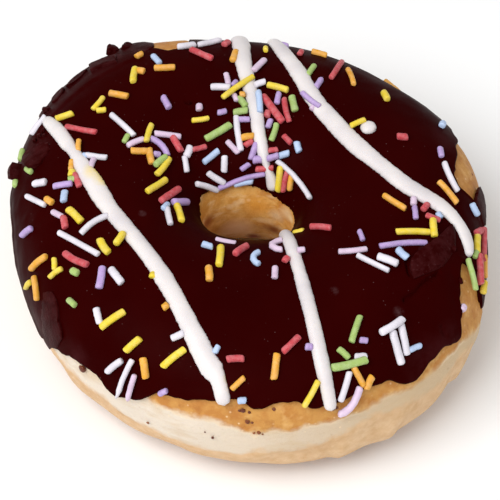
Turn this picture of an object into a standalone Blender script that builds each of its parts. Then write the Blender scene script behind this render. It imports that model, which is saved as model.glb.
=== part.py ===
"""Sprinkle frosted doughnut.

Two solids: the fried ring of dough, and the dark frosting that caps it. White drizzle, sprinkles and
flakes of broken frosting are fused to the frosting. Metres, +Z up, resting on the floor at z = 0,
with the hole's axis along Z. The front of the doughnut faces -Y.

Every place on the ring is given by two angles. The turn goes round the hole, from +X towards +Y. The
rise goes round the ring's section: 0 at the outer waist, 90 at the crown, 180 at the hole's waist.
"""

import math
import random

import bmesh
import bpy
from mathutils import Matrix, Vector, noise

MM = 0.001

# The ring's skin, as it was before it was cut up into dough and frosting
OUTER_RADIUS = 49.1 * MM
OUTER_LOBES = (
    (2, 2.7 * MM, -56.0), (3, 1.13 * MM, 18.5), (4, 0.83 * MM, 38.3), (6, 0.29 * MM, 16.3), (7, 0.36 * MM, 18.8),
)
HOLE_RADIUS = 7.3 * MM
HOLE_OVAL = 1.4 * MM
CROWN_RISE = 16.8 * MM
BASE_DROP = 16.1 * MM
FULLNESS = 2.3
CENTRE_SHIFT = Vector((0.3, 0.5, 0.0)) * MM

# Layers, as offsets from that skin. The dough is sunk under the frosting, and comes out to the skin over
# a band of rises below it, on the outside and inside the hole.
DOUGH_SINK = 0.7 * MM
SINK_OUTSIDE = (-35.0, -15.0)
SINK_IN_HOLE = (215.0, 195.0)
GAP = 0.38 * MM
FROSTING_TOP = 0.3 * MM
LIP_BEAD = 0.2 * MM
LIP_RUN = 10.0
WAVE_DEPTH = 0.3 * MM
WAVE_LENGTH = 11.0 * MM

# The frosting's two edges, as (turn, rise) in degrees. The outer one bares the dough in front and at
# two patches on the right, with a tongue of frosting between them.
OUTER_EDGE = (
    (3, 50), (6, 54), (10, 52), (17, 44), (23, 34), (32, 22), (48, 12), (72, 6), (95, 12), (105, 34),
    (107.5, 50), (110, 60), (113, 66), (115.5, 60), (118, 44), (126, 18), (150, 6), (178, 9), (190, -5),
    (206, -13), (214, -3), (220, 5), (227, 12), (232, 14), (238, 5), (243, 10), (250, 24), (262, 29),
    (267, 33), (272, 29), (280, 31), (285, 25), (289, 25), (296, 29), (301, 27), (306, 19), (309, 19),
    (313, 23), (318, 23), (323, 19), (326, 28), (330, 37), (335, 43), (339, 42), (341, 31), (342.3, 18),
    (343.5, 11), (346, 6), (351, 2), (356, 6), (359, 24),
)
INNER_EDGE = (
    (0, 166.5), (20, 167), (35, 167), (50, 164.5), (64, 161.5), (80, 159), (103, 157), (120, 156.5), (139, 155.5),
    (156, 154), (180, 160), (230, 156), (290, 158), (330, 164),
)
# The tongue ends in a thin tail that runs back along the side
HOOK_TURNS = (325.0, 343.0, 375.0)
HOOK_TOP, HOOK_DROP, HOOK_REACH = 43.0, 36.0, 10.0
EDGE_WOBBLE = 0.8
EDGE_WAVES = 23

# How finely the round forms are divided
DOUGH_TURNS = 66
DOUGH_RISES = 22
FROSTING_TURNS = 76
TOP_ROWS = 14
UNDER_ROWS = 10
STRAND_STEP = 5.0 * MM
STRAND_SIDES = 6
SPRINKLE_SIDES = 5
FLAT_ANGLE = math.radians(0.5)
SPRINKLE_STEP = 4.2 * MM

# Drizzle strands, each as (x, y, width) over the plan in millimetres
DRIZZLE_HEIGHT = 1.2 * MM
DRIZZLE_SUNK = 0.35 * MM
STRAND_TAPER = 0.75
STRANDS = {
    "long_left": (
        (-40.8, 21.3, 2.4), (-37.5, 15.0, 3.2), (-34.2, 8.5, 2.6), (-30.5, 0.9, 4.0), (-23.0, -12.0, 3.4),
        (-14.6, -26.4, 3.5), (-8.0, -40.5, 4.2), (-5.6, -44.2, 3.1), (-4.4, -47.6, 2.8),
    ),
    "back": (
        (-2.0, 48.0, 3.8), (-1.5, 40.0, 3.8), (0.0, 27.0, 3.0), (2.0, 15.5, 2.6), (3.8, 9.4, 1.7), (5.0, 6.4, 2.6),
    ),
    "front": ((7.0, -6.4, 2.7), (8.5, -16.0, 2.6), (11.5, -31.5, 2.7), (13.0, -39.0, 2.8), (15.3, -47.5, 2.5)),
    "right": (
        (5.0, 46.0, 2.8), (7.0, 38.0, 3.4), (9.8, 31.0, 3.5), (16.5, 17.2, 4.0), (26.0, 4.7, 3.7),
        (36.9, -4.4, 3.5), (41.2, -8.5, 2.9), (42.3, -13.0, 2.0),
    ),
    "droplet": ((22.3, 15.7, 2.6), (23.8, 14.8, 3.4), (25.2, 13.9, 2.6)),
}

# Sprinkles: short rods of sugar. The long ones lie where they stand out, as (x, y, heading, length, bend)
# over the plan, and a bend above 0 curls the ends to the left of the heading.
SPRINKLE_RADIUS = 0.68 * MM
SPRINKLE_SUNK = 0.3 * MM
SPRINKLE_STEP_BEND = 60.0
LONG_SPRINKLES = (
    (-19.7, 13.8, 78, 4.7, 0), (-16.7, 6.2, 63, 5.5, 0), (-17.9, 1.1, 52, 6.0, 0),
    (-13.4, -4.4, -77, 5.0, 0), (-2.1, 26.1, 43, 8.7, 0), (31.5, -11.9, 6, 6.7, 0),
    (-5.4, -17.1, 87, 6.3, 5), (-33.4, -7.4, -53, 4.7, 0), (-25.4, -31.1, 22, 5.0, 0),
    (-13.8, -39.7, 28, 4.8, 0), (20.8, 30.6, -80, 6.0, 0), (38.9, -0.3, -50, 5.5, 0),
    (28.2, -4.7, -40, 5.5, 0), (-25.0, 15.7, -50, 7.5, 0), (-8.0, 42.4, 50, 6.0, 40),
    (-2.0, 15.5, -82, 6.9, 0), (9.2, 6.1, -53, 11.0, -40), (-15.4, -6.6, -80, 4.9, 0),
    (39.6, 3.9, -70, 7.0, 20), (23.5, -19.9, -32, 7.1, 10), (26.7, -33.1, 38, 5.6, 0),
    (27.6, -36.5, -71, 5.3, 0), (29.0, -34.9, -76, 5.0, 0), (-41.6, -0.6, -50, 6.3, 8),
    (-29.7, -9.9, 38, 6.5, -35), (-32.5, -14.0, -41, 10.7, 0), (17.9, -44.2, 68, 4.6, 0),
    (-16.0, 13.7, 0, 5.3, 0), (19.8, -16.8, 5, 5.5, 0), (18.9, -45.9, 42, 5.6, 60),
    (5.5, -12.8, 90, 6.5, -170), (-17.5, 11.0, -45, 5.2, -60), (-1.4, 7.9, 12, 9.6, -25),
    (12.4, 22.5, -48, 5.5, 15), (29.5, -15.0, 10, 9.4, -8), (2.1, 22.2, -86, 5.3, 0),
    (1.5, -17.5, 90, 5.0, -120), (-6.0, 15.5, 32, 6.0, 0), (42.6, -16.4, -70, 5.0, 0),
    (19.9, -34.6, 72, 5.6, 0), (18.7, -40.9, 19, 7.0, 12), (-33.3, 15.1, -25, 7.0, 20),
    (-9.6, 36.4, -40, 5.9, 0), (4.8, 20.4, -58, 7.6, 0), (7.5, 20.0, -80, 5.9, 0),
    (-15.3, -0.1, 57, 6.6, 0), (18.0, 33.2, 73, 8.6, 10), (-1.4, -14.5, 57, 4.7, 0),
    (-32.9, -17.5, -40, 6.2, 25),
)

# The toppings' plan is that of the bare skin as it is met from in front and above. What lies on the
# frosting stands higher, so it lies this much nearer the front.
FORWARD = 0.5 * MM

# The short ones lie in patches, as (x, y, patch radius, how many), drawn at random from a seed
SHORT_LENGTH = (1.6, 4.2)
SHORT_SPACING = 2.7
SHORT_TRIES = 400
EDGE_MARGIN = 8.0
SHORT_PATCHES = (
    (-25, 29, 10, 5), (-20, 11, 7, 4), (1, 22, 8, 5), (1, 12, 5, 3), (-34, 4, 6, 5), (-38, -12, 8, 6),
    (-22, -38, 8, 5), (34, -7, 6, 3), (22, -38, 7, 3), (0, -42, 8, 3), (0, -19, 8, 3), (18, 24, 12, 4),
)
SHORT_SEED = 11

# Those down the outside, as (turn, rise, heading from level, length)
SIDE_SPRINKLES = (
    (350, 24, 5, 8.2), (341.2, 28, 20, 6.0), (344.4, 21, 17, 4.5), (50, 20, 30, 5.0), (66, 16, -35, 4.0),
    (86, 18, 60, 4.5),
)

# Flakes of frosting that broke and stand up, as (turn, rise, across, along, heading, tilt)
FLAKE_THICKNESS = 0.8 * MM
FLAKE_SUNK = 0.3 * MM
FLAKE_TAPER = 0.86
FLAKE_CORNERS = 5
FLAKE_UNEVEN = 0.25
FLAKES = (
    (129, 46, 5.6, 3.4, -18, 22), (124.5, 42, 2.6, 2.4, 30, 28), (121.5, 45, 2.8, 2.2, 30, 28),
    (117, 50, 5.0, 2.6, -10, 16), (138, 34, 4.2, 3.0, 10, 18), (148, 25, 3.8, 2.8, 20, 18),
    (161, 44, 5.6, 4.2, 30, 14), (166, 25, 3.6, 3.0, 70, 22), (344, 47, 9.0, 6.0, 25, 5),
)
FLAKE_SEED = 4

# Finishes: colour, roughness and sheen
DOUGH_FINISH = ((0.55, 0.3, 0.1), 0.7, 0.1)
FROSTING_FINISH = ((0.03, 0.004, 0.004), 0.35, 0.0)
SHARP_ANGLE = math.radians(40)


def remove_everything():
    """Clears the objects that the open file starts with."""
    for thing in list(bpy.data.objects):
        bpy.data.objects.remove(thing, do_unlink=True)


def smooth_step(value):
    """0 below 0, 1 above 1, and an S curve between them."""
    value = min(1.0, max(0.0, value))
    return value * value * (3.0 - 2.0 * value)


def round_the_ring(pairs, turn):
    """Reads a closed list of (turn, value) pairs at any turn, on a smooth curve through them."""
    turn %= 360.0
    count = len(pairs)
    for index in range(count):
        start, end = pairs[index], pairs[(index + 1) % count]
        span = (end[0] - start[0]) % 360.0
        along = (turn - start[0]) % 360.0
        if along < span:
            return start[1] + (end[1] - start[1]) * smooth_step(along / span)
    return pairs[0][1]


def outer_edge(turn):
    """The rise at which the frosting ends on the outside."""
    wobble = EDGE_WOBBLE * math.sin(math.radians(EDGE_WAVES * turn)) * math.sin(math.radians(5.0 * turn))
    return round_the_ring(OUTER_EDGE, turn) + wobble


def inner_edge(turn):
    """The rise at which the frosting ends inside the hole."""
    return round_the_ring(INNER_EDGE, turn)


def hook(turn, rise):
    """How far the frosting runs back along the side, in degrees of turn, round the tongue's tail."""
    start, peak, end = HOOK_TURNS
    turn = turn if turn >= start else turn + 360.0
    share = (turn - start) / (peak - start) if turn < peak else (end - turn) / (end - peak)
    drop = max(0.0, HOOK_TOP - rise) / HOOK_DROP
    return HOOK_REACH * smooth_step(share) * drop * drop


def section(turn):
    """Mid radius and half width of the ring's section at a turn."""
    outer = OUTER_RADIUS
    for order, depth, peak in OUTER_LOBES:
        outer += depth * math.cos(math.radians(order * (turn - peak)))
    hole = HOLE_RADIUS + HOLE_OVAL * math.cos(math.radians(2.0 * turn))
    return (outer + hole) / 2.0, (outer - hole) / 2.0


def skin(turn, rise, offset=0.0):
    """A point on the ring's skin, moved out by an offset. The bottom is flat where it rests."""
    mid, half = section(turn)
    flat, steep = math.cos(math.radians(rise)), math.sin(math.radians(rise))
    power = 2.0 / FULLNESS
    radius = mid + (half + offset) * math.copysign(abs(flat) ** power, flat)
    height = BASE_DROP + (CROWN_RISE + offset) * math.copysign(abs(steep) ** power, steep)
    angle = math.radians(turn)
    return Vector((radius * math.cos(angle), radius * math.sin(angle), max(0.0, height))) + CENTRE_SHIFT


def skin_frame(turn, rise, offset):
    """A place on the skin with its outward normal, its way round the ring and its way up the section."""
    step = 0.5
    place = skin(turn, rise, offset)
    way_round = (skin(turn + step, rise, offset) - skin(turn - step, rise, offset)).normalized()
    way_up = (skin(turn, rise + step, offset) - skin(turn, rise - step, offset)).normalized()
    return place, way_round.cross(way_up).normalized(), way_round, way_up


def dough_offset(rise):
    """How far the dough stands out of the skin: below it under the frosting, and on it lower down."""
    start, full = (SINK_OUTSIDE if rise > 270.0 else SINK_IN_HOLE)
    signed = rise - 360.0 if rise > 270.0 else rise
    return -DOUGH_SINK * smooth_step((signed - start) / (full - start))


def frosting_offset(turn, rise):
    """How far the frosting's top stands out of the skin, with its swells and the bead along its edges."""
    place = skin(turn, rise)
    swell = WAVE_DEPTH * noise.noise(place / WAVE_LENGTH)
    from_edge = min(rise - outer_edge(turn), inner_edge(turn) - rise) / LIP_RUN
    bead = LIP_BEAD * (1.0 - smooth_step(from_edge))
    return FROSTING_TOP + swell + bead


def over_top(x, y):
    """The turn and rise on top of the ring, over a point of the plan in metres from the hole's middle."""
    turn = math.degrees(math.atan2(y, x))
    mid, half = section(turn)
    across = (math.hypot(x, y) - mid) / half
    across = max(-0.995, min(0.995, across))
    rise = math.degrees(math.acos(math.copysign(abs(across) ** (FULLNESS / 2.0), across)))
    return turn, rise


def on_frosting(x, y, lift):
    """A point over the plan that lies a given lift above the frosting, and the normal there."""
    turn, rise = over_top(x, y - FORWARD)
    place, normal, _, _ = skin_frame(turn, rise, frosting_offset(turn, rise))
    return place + normal * lift, normal


def edge_columns(count):
    """Turns for the frosting's columns, closer together where its outer edge runs steeply."""
    samples = 1440
    lengths = [0.0]
    for index in range(samples):
        turn, following = 360.0 * index / samples, 360.0 * (index + 1) / samples
        step = skin(following, outer_edge(following)) - skin(turn, outer_edge(turn))
        lengths.append(lengths[-1] + step.length)
    turns = []
    index = 0
    for column in range(count):
        wanted = lengths[-1] * column / count
        while lengths[index + 1] < wanted:
            index += 1
        turns.append(360.0 * index / samples)
    return turns


def make_object(name, verts, faces, collection=None):
    """A mesh object of triangles from points and faces, with its normals turned outwards."""
    mesh = bpy.data.meshes.new(name)
    mesh.from_pydata(verts, [], faces)
    edit = bmesh.new()
    edit.from_mesh(mesh)
    bmesh.ops.triangulate(edit, faces=edit.faces)
    bmesh.ops.recalc_face_normals(edit, faces=edit.faces)
    edit.to_mesh(mesh)
    edit.free()
    thing = bpy.data.objects.new(name, mesh)
    (collection or bpy.context.scene.collection).objects.link(thing)
    return thing


def closed_grid(name, rings):
    """A closed tube of equal rings, the last joined to the first."""
    size = len(rings[0])
    verts = [point for ring in rings for point in ring]
    faces = []
    for row in range(len(rings)):
        following = (row + 1) % len(rings)
        for column in range(size):
            beside = (column + 1) % size
            here, above = row * size, following * size
            faces.append((here + column, here + beside, above + beside, above + column))
    return make_object(name, verts, faces)


def capped_tube(name, rings, collection):
    """A tube of equal rings with a flat cap at each end."""
    size = len(rings[0])
    verts = [point for ring in rings for point in ring]
    faces = [tuple(range(size)), tuple(range(len(verts) - 1, len(verts) - size - 1, -1))]
    for row in range(len(rings) - 1):
        for column in range(size):
            beside = (column + 1) % size
            here, above = row * size, (row + 1) * size
            faces.append((here + column, above + column, above + beside, here + beside))
    return make_object(name, verts, faces, collection)


def make_dough():
    """The fried ring, whole, flat where it rests."""
    rings = []
    for row in range(DOUGH_RISES):
        rise = 360.0 * row / DOUGH_RISES
        turns = (360.0 * column / DOUGH_TURNS for column in range(DOUGH_TURNS))
        rings.append([skin(turn, rise, dough_offset(rise)) for turn in turns])
    return closed_grid("dough", rings)


def make_frosting():
    """The cap of frosting, a shell from its outer edge over the crown to its edge inside the hole."""
    turns = edge_columns(FROSTING_TURNS)
    under = GAP - DOUGH_SINK
    rings = []
    for row in range(TOP_ROWS):
        share = row / (TOP_ROWS - 1)
        ring = []
        for turn in turns:
            low, high = outer_edge(turn), inner_edge(turn)
            rise = low + (high - low) * share
            ring.append(skin(turn - hook(turn, rise), rise, frosting_offset(turn, rise)))
        rings.append(ring)
    for row in range(UNDER_ROWS):
        share = 1.0 - row / (UNDER_ROWS - 1)
        ring = []
        for turn in turns:
            low, high = outer_edge(turn), inner_edge(turn)
            rise = low + (high - low) * share
            ring.append(skin(turn - hook(turn, rise), rise, under))
        rings.append(ring)
    return closed_grid("frosting", rings)


def smooth_route(points, step):
    """Points a step apart along a smooth curve through the given ones."""
    padded = [points[0] * 2 - points[1]] + list(points) + [points[-1] * 2 - points[-2]]
    route = []
    for index in range(1, len(padded) - 2):
        before, start, end, after = padded[index - 1:index + 3]
        pieces = max(1, round((end - start).length / step))
        for piece in range(pieces):
            t = piece / pieces
            bend = (before * -1 + start * 3 - end * 3 + after) * t * t * t
            bend += (before * 2 - start * 5 + end * 4 - after) * t * t
            route.append((bend + (end - before) * t + start * 2) / 2)
    route.append(points[-1])
    return route


def rod_rings(places, normals, half_widths, height, depth, sides):
    """Rings of a rod along its places, a height above them and a depth below them."""
    rings = []
    last = len(places) - 1
    for index, place in enumerate(places):
        ahead = (places[min(last, index + 1)] - places[max(0, index - 1)]).normalized()
        normal = normals[index]
        sideways = ahead.cross(normal).normalized()
        up = sideways.cross(ahead).normalized()
        ring = []
        for side in range(sides):
            angle = math.tau * (side + 0.5) / sides
            lift = math.sin(angle) * (height if math.sin(angle) > 0.0 else depth)
            ring.append(place + sideways * math.cos(angle) * half_widths[index] + up * lift)
        rings.append(ring)
    return rings


def make_strand(name, route, collection):
    """One strand of white drizzle that lies over the frosting, narrower at its two ends."""
    plan = smooth_route([Vector(point) * MM for point in route], STRAND_STEP)
    grounds = [on_frosting(point.x, point.y, 0.0) for point in plan]
    corner_reach = math.cos(math.pi / STRAND_SIDES)
    widths = [point.z / 2.0 / corner_reach for point in plan]
    widths[0] *= STRAND_TAPER
    widths[-1] *= STRAND_TAPER
    places = [place for place, _ in grounds]
    normals = [normal for _, normal in grounds]
    rings = rod_rings(places, normals, widths, DRIZZLE_HEIGHT, DRIZZLE_SUNK, STRAND_SIDES)
    return capped_tube(name, rings, collection)


def round_rod(name, places, normals, collection):
    """A sprinkle's round rod along its places."""
    half_widths = [SPRINKLE_RADIUS] * len(places)
    rings = rod_rings(places, normals, half_widths, SPRINKLE_RADIUS, SPRINKLE_RADIUS, SPRINKLE_SIDES)
    return capped_tube(name, rings, collection)


def make_sprinkle(name, x, y, heading, length, bend, collection):
    """One sprinkle, straight or on an arc, sunk a little into the frosting under it. All in millimetres."""
    pieces = max(1, round(length * MM / SPRINKLE_STEP) + round(abs(bend) / SPRINKLE_STEP_BEND))
    way = Vector((math.cos(math.radians(heading)), math.sin(math.radians(heading))))
    left = Vector((-way.y, way.x))
    curve = math.radians(bend)
    places, normals = [], []
    for index in range(pieces + 1):
        share = index / pieces - 0.5
        along, aside = length * share, 0.0
        if bend:
            radius = length / curve
            along = radius * math.sin(curve * share)
            aside = radius * (math.cos(curve / 4.0) ** 2 - math.cos(curve * share))
        point = Vector((x, y)) + way * along + left * aside
        place, normal = on_frosting(point.x * MM, point.y * MM, SPRINKLE_RADIUS - SPRINKLE_SUNK)
        places.append(place)
        normals.append(normal)
    return round_rod(name, places, normals, collection)


def make_side_sprinkle(name, turn, rise, heading, length, collection):
    """One straight sprinkle on the ring's outside."""
    lift = frosting_offset(turn, rise) + SPRINKLE_RADIUS - SPRINKLE_SUNK
    place, normal, way_round, way_up = skin_frame(turn, rise, lift)
    way = way_round * math.cos(math.radians(heading)) + way_up * math.sin(math.radians(heading))
    half = way * length * MM / 2.0
    return round_rod(name, [place - half, place + half], [normal] * 2, collection)


def short_sprinkle_places():
    """Draws the short sprinkles patch by patch, each clear of the middles of those already there."""
    draw = random.Random(SHORT_SEED)
    taken = [Vector(row[:2]) for row in LONG_SPRINKLES]
    chosen = []
    for x, y, reach, count in SHORT_PATCHES:
        left = count
        for _ in range(SHORT_TRIES):
            if not left:
                break
            point = Vector((x + draw.uniform(-reach, reach), y + draw.uniform(-reach, reach)))
            if any((point - other).length < SHORT_SPACING for other in taken):
                continue
            turn, rise = over_top(point.x * MM, point.y * MM)
            if not outer_edge(turn) + EDGE_MARGIN < rise < inner_edge(turn) - EDGE_MARGIN:
                continue
            taken.append(point)
            chosen.append((point.x, point.y, draw.uniform(0, 180), draw.uniform(*SHORT_LENGTH)))
            left -= 1
    return chosen


def make_flake(name, turn, rise, across, along, heading, tilt, draw, collection):
    """One thin, cornered flake of frosting, raised on one side."""
    lift = math.sin(math.radians(tilt)) * along * MM / 2.0
    place, normal, way_round, way_up = skin_frame(turn, rise, FROSTING_TOP + lift)
    spin = Matrix.Rotation(math.radians(heading), 3, normal)
    long_way = spin @ way_round
    lean = Matrix.Rotation(math.radians(tilt), 3, long_way)
    wide_way = lean @ (spin @ way_up)
    up = lean @ normal
    half_across, half_along = across * MM / 2.0, along * MM / 2.0
    rings = []
    corners = []
    for corner in range(FLAKE_CORNERS):
        angle = math.tau * (corner + draw.uniform(-FLAKE_UNEVEN, FLAKE_UNEVEN)) / FLAKE_CORNERS
        corners.append(long_way * math.cos(angle) * half_across + wide_way * math.sin(angle) * half_along)
    for level, size in ((-FLAKE_SUNK, 1.0), (FLAKE_THICKNESS, FLAKE_TAPER)):
        rings.append([place + corner * size + up * level for corner in corners])
    return capped_tube(name, rings, collection)


def make_toppings():
    """All that is fused to the frosting, in a collection of its own."""
    collection = bpy.data.collections.new("toppings")
    bpy.context.scene.collection.children.link(collection)
    for name, route in STRANDS.items():
        make_strand("strand_" + name, route, collection)
    for index, (x, y, heading, length, bend) in enumerate(LONG_SPRINKLES):
        make_sprinkle(f"sprinkle_{index:03d}", x, y, heading, length, bend, collection)
    for index, (x, y, heading, length) in enumerate(short_sprinkle_places()):
        make_sprinkle(f"short_{index:03d}", x, y, heading, length, 0.0, collection)
    for index, (turn, rise, heading, length) in enumerate(SIDE_SPRINKLES):
        make_side_sprinkle(f"side_{index:03d}", turn, rise, heading, length, collection)
    draw = random.Random(FLAKE_SEED)
    for index, row in enumerate(FLAKES):
        make_flake(f"flake_{index:03d}", *row, draw, collection)
    return collection


def fuse(base, collection):
    """Joins a collection's objects to the base by one Boolean, then removes them."""
    join = base.modifiers.new("join", "BOOLEAN")
    join.operation = "UNION"
    join.solver = "EXACT"
    join.operand_type = "COLLECTION"
    join.collection = collection
    bpy.context.view_layer.objects.active = base
    bpy.ops.object.modifier_apply(modifier=join.name)
    for thing in list(collection.objects):
        bpy.data.objects.remove(thing, do_unlink=True)
    bpy.data.collections.remove(collection)


def keep_main_body(thing):
    """Drops loose scraps and the inner walls of sealed hollows, and merges the faces that are flat."""
    edit = bmesh.new()
    edit.from_mesh(thing.data)
    waiting = set(edit.faces)
    bodies = []
    while waiting:
        body = [waiting.pop()]
        for face in body:
            for edge in face.edges:
                for beside in edge.link_faces:
                    if beside in waiting:
                        waiting.remove(beside)
                        body.append(beside)
        bodies.append(body)
    bodies.sort(key=len)
    for body in bodies[:-1]:
        bmesh.ops.delete(edit, geom=body, context="FACES")
    bmesh.ops.dissolve_limit(edit, angle_limit=FLAT_ANGLE, verts=edit.verts, edges=edit.edges)
    bmesh.ops.triangulate(edit, faces=edit.faces)
    edit.to_mesh(thing.data)
    edit.free()


def finish(thing, colour, roughness, sheen):
    """Gives an object its material and shades it smooth."""
    material = bpy.data.materials.new(thing.name)
    material.use_nodes = True
    shader = material.node_tree.nodes["Principled BSDF"]
    shader.inputs["Base Color"].default_value = (*colour, 1.0)
    shader.inputs["Roughness"].default_value = roughness
    shader.inputs["Metallic"].default_value = 0.0
    shader.inputs["Sheen Weight"].default_value = sheen
    thing.data.materials.clear()
    thing.data.materials.append(material)
    thing.data.shade_smooth()
    thing.data.set_sharp_from_angle(angle=SHARP_ANGLE)


def main():
    remove_everything()
    dough = make_dough()
    frosting = make_frosting()
    fuse(frosting, make_toppings())
    keep_main_body(frosting)
    finish(dough, *DOUGH_FINISH)
    finish(frosting, *FROSTING_FINISH)


main()
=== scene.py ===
"""Sprinkle frosted doughnut: its looks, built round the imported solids.

Laid out as an add-on whose panel lists one operator for each piece. Lengths are in metres unless a
name says otherwise. A place on the ring is given by its turn, round the hole from +X towards +Y, and its
rise, round the section: 0 at the outer waist, 90 at the crown, 180 at the hole's waist, in degrees.
"""

import math
import random

import bpy
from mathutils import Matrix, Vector, noise


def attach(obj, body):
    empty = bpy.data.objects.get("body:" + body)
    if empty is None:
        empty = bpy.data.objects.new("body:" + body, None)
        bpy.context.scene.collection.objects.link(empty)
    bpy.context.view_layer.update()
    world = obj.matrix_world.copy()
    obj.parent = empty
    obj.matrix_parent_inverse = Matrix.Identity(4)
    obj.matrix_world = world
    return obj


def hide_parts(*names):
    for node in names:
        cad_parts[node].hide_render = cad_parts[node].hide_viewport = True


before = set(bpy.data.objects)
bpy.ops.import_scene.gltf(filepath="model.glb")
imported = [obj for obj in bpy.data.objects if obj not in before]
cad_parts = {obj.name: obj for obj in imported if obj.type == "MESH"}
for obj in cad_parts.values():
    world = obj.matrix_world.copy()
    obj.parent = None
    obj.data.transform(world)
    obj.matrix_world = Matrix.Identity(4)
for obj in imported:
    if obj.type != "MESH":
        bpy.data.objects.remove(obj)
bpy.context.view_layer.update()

bl_info = {
    "name": "Sprinkle frosted doughnut",
    "version": (1, 0, 0),
    "blender": (4, 5, 0),
    "location": "3D View > Sidebar > Doughnut",
    "description": "Models a ring doughnut with dark frosting, white drizzle and coloured sprinkles",
    "category": "Object",
}

MM = 0.001
BODY = "root"

# The ring's skin, the same as the solids were cut from
OUTER_RADIUS = 49.1 * MM
# Lobes of the outline, as (waves round the ring, depth, turn of a peak)
OUTER_LOBES = (
    (2, 2.7 * MM, -56.0), (3, 1.13 * MM, 18.5), (4, 0.83 * MM, 38.3), (6, 0.29 * MM, 16.3),
    (7, 0.36 * MM, 18.8),
)
HOLE_RADIUS = 7.3 * MM
HOLE_OVAL = 1.4 * MM
CROWN_RISE = 16.8 * MM
BASE_DROP = 16.1 * MM
FULLNESS = 2.3
CENTRE_SHIFT = Vector((0.3, 0.5, 0.0)) * MM
RING_CENTRE = CENTRE_SHIFT + Vector((0.0, 0.0, BASE_DROP))

# The line of sight to the viewer
SIGHT_RISE = math.radians(50.0)
SIGHT = Vector((0.0, -math.cos(SIGHT_RISE), math.sin(SIGHT_RISE)))

# Layers, as offsets from that skin. The dough is sunk under the frosting, and comes out to the skin over a
# band of rises below it, on the outside and inside the hole.
DOUGH_SINK = 0.6 * MM
SINK_OUTSIDE = (-35.0, -15.0)
SINK_IN_HOLE = (215.0, 195.0)
# Where the dough swells out, as (turn, reach, lowest rise, highest rise, fade, height)
SWELLS = (
    (112.5, 9.0, 24.0, 72.0, 12.0, 0.85 * MM), (331.0, 9.0, -45.0, 18.0, 16.0, 0.9 * MM),
    (297.0, 9.0, -62.0, -4.0, 16.0, 0.8 * MM),
)
UNDER_OFFSET = -0.8 * MM
LIP_RUN = 10.0
WAVE_DEPTH = 0.3 * MM
WAVE_LENGTH = 11.0 * MM

# The frosting's edges, as (turn, rise)
OUTER_EDGE = (
    (3, 50), (6, 54), (10, 52), (17, 44), (23, 34), (32, 22), (48, 12), (72, 6), (95, 12), (104.5, 34),
    (107, 52), (110, 59.5), (113.5, 61), (116.5, 56), (119, 42), (126, 18), (150, 6), (178, 9), (190, -5),
    (206, -13), (214, -3), (220, 5), (227, 12), (232, 14), (238, 5), (243, 10), (250, 24), (262, 29),
    (267, 33), (272, 29), (280, 31), (285, 25), (289, 25), (296, 29), (301, 27), (306, 19), (309, 19),
    (313, 23), (318, 23), (323, 19), (326, 28), (330, 37), (335, 43), (339, 42), (341, 31), (342.3, 18),
    (343.5, 11), (346, 6), (351, 2), (356, 6), (359, 24),
)
INNER_EDGE = (
    (0, 163.5), (20, 164), (35, 164.5), (50, 162), (64, 159.5), (80, 157), (103, 155), (120, 155),
    (139, 154.5), (156, 153.5), (180, 160), (230, 156), (290, 158), (330, 162),
)
# How the frosting runs back round the tail of its tongue: turns, a rise, a drop and a reach, in degrees
HOOK_TURNS = (325.0, 343.0, 375.0)
HOOK_TOP = 43.0
HOOK_DROP = 36.0
HOOK_REACH = 10.0
# The fine waves of the outer edge
EDGE_WOBBLE = 0.8
EDGE_WAVES = 23
# Rows of points that crowd along each edge, and their share of the width
LIP_ROWS = 12
LIP_SHARE = 0.04

# The dough's relief: lump sizes, and the depth of its pores
DIMPLE_SIZE = 8.0 * MM
PORE_SIZE = 2.0 * MM
PORE_DEPTH = 0.03 * MM
WRINKLE_DEPTH = 0.12 * MM

# The pale band that the fat didn't reach, as (turn, rise of its upper border, rise of its lower border)
PALE_BAND = (
    (214, 16, -3), (232, 23, -4), (240, 21.5, -8), (245, 18, -11), (248, 14.5, -12), (254, 14, -12),
    (262, 13.8, -12), (267, 11.5, -10.5), (271, 9.2, -6), (275, 12.5, -6), (279, 10.7, -6.5),
    (283, 12.5, -5.5), (289, 13.6, 0), (297, 13.5, 4), (301, 15, 2.5), (304, 13.6, 2.5),
    (308, 12.3, 3.3), (312, 14, 1.5), (316, 13.4, 0.3), (319, 12.8, 1), (321.7, 12.2, 4),
    (324.8, 13.4, 5), (328, 10, 1.8), (331, 5, -4), (335, 1, -8), (344, 6, -7), (20, -6, -14),
    (70, 5, -8), (130, 9, -6), (180, 4, -9),
)

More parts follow.
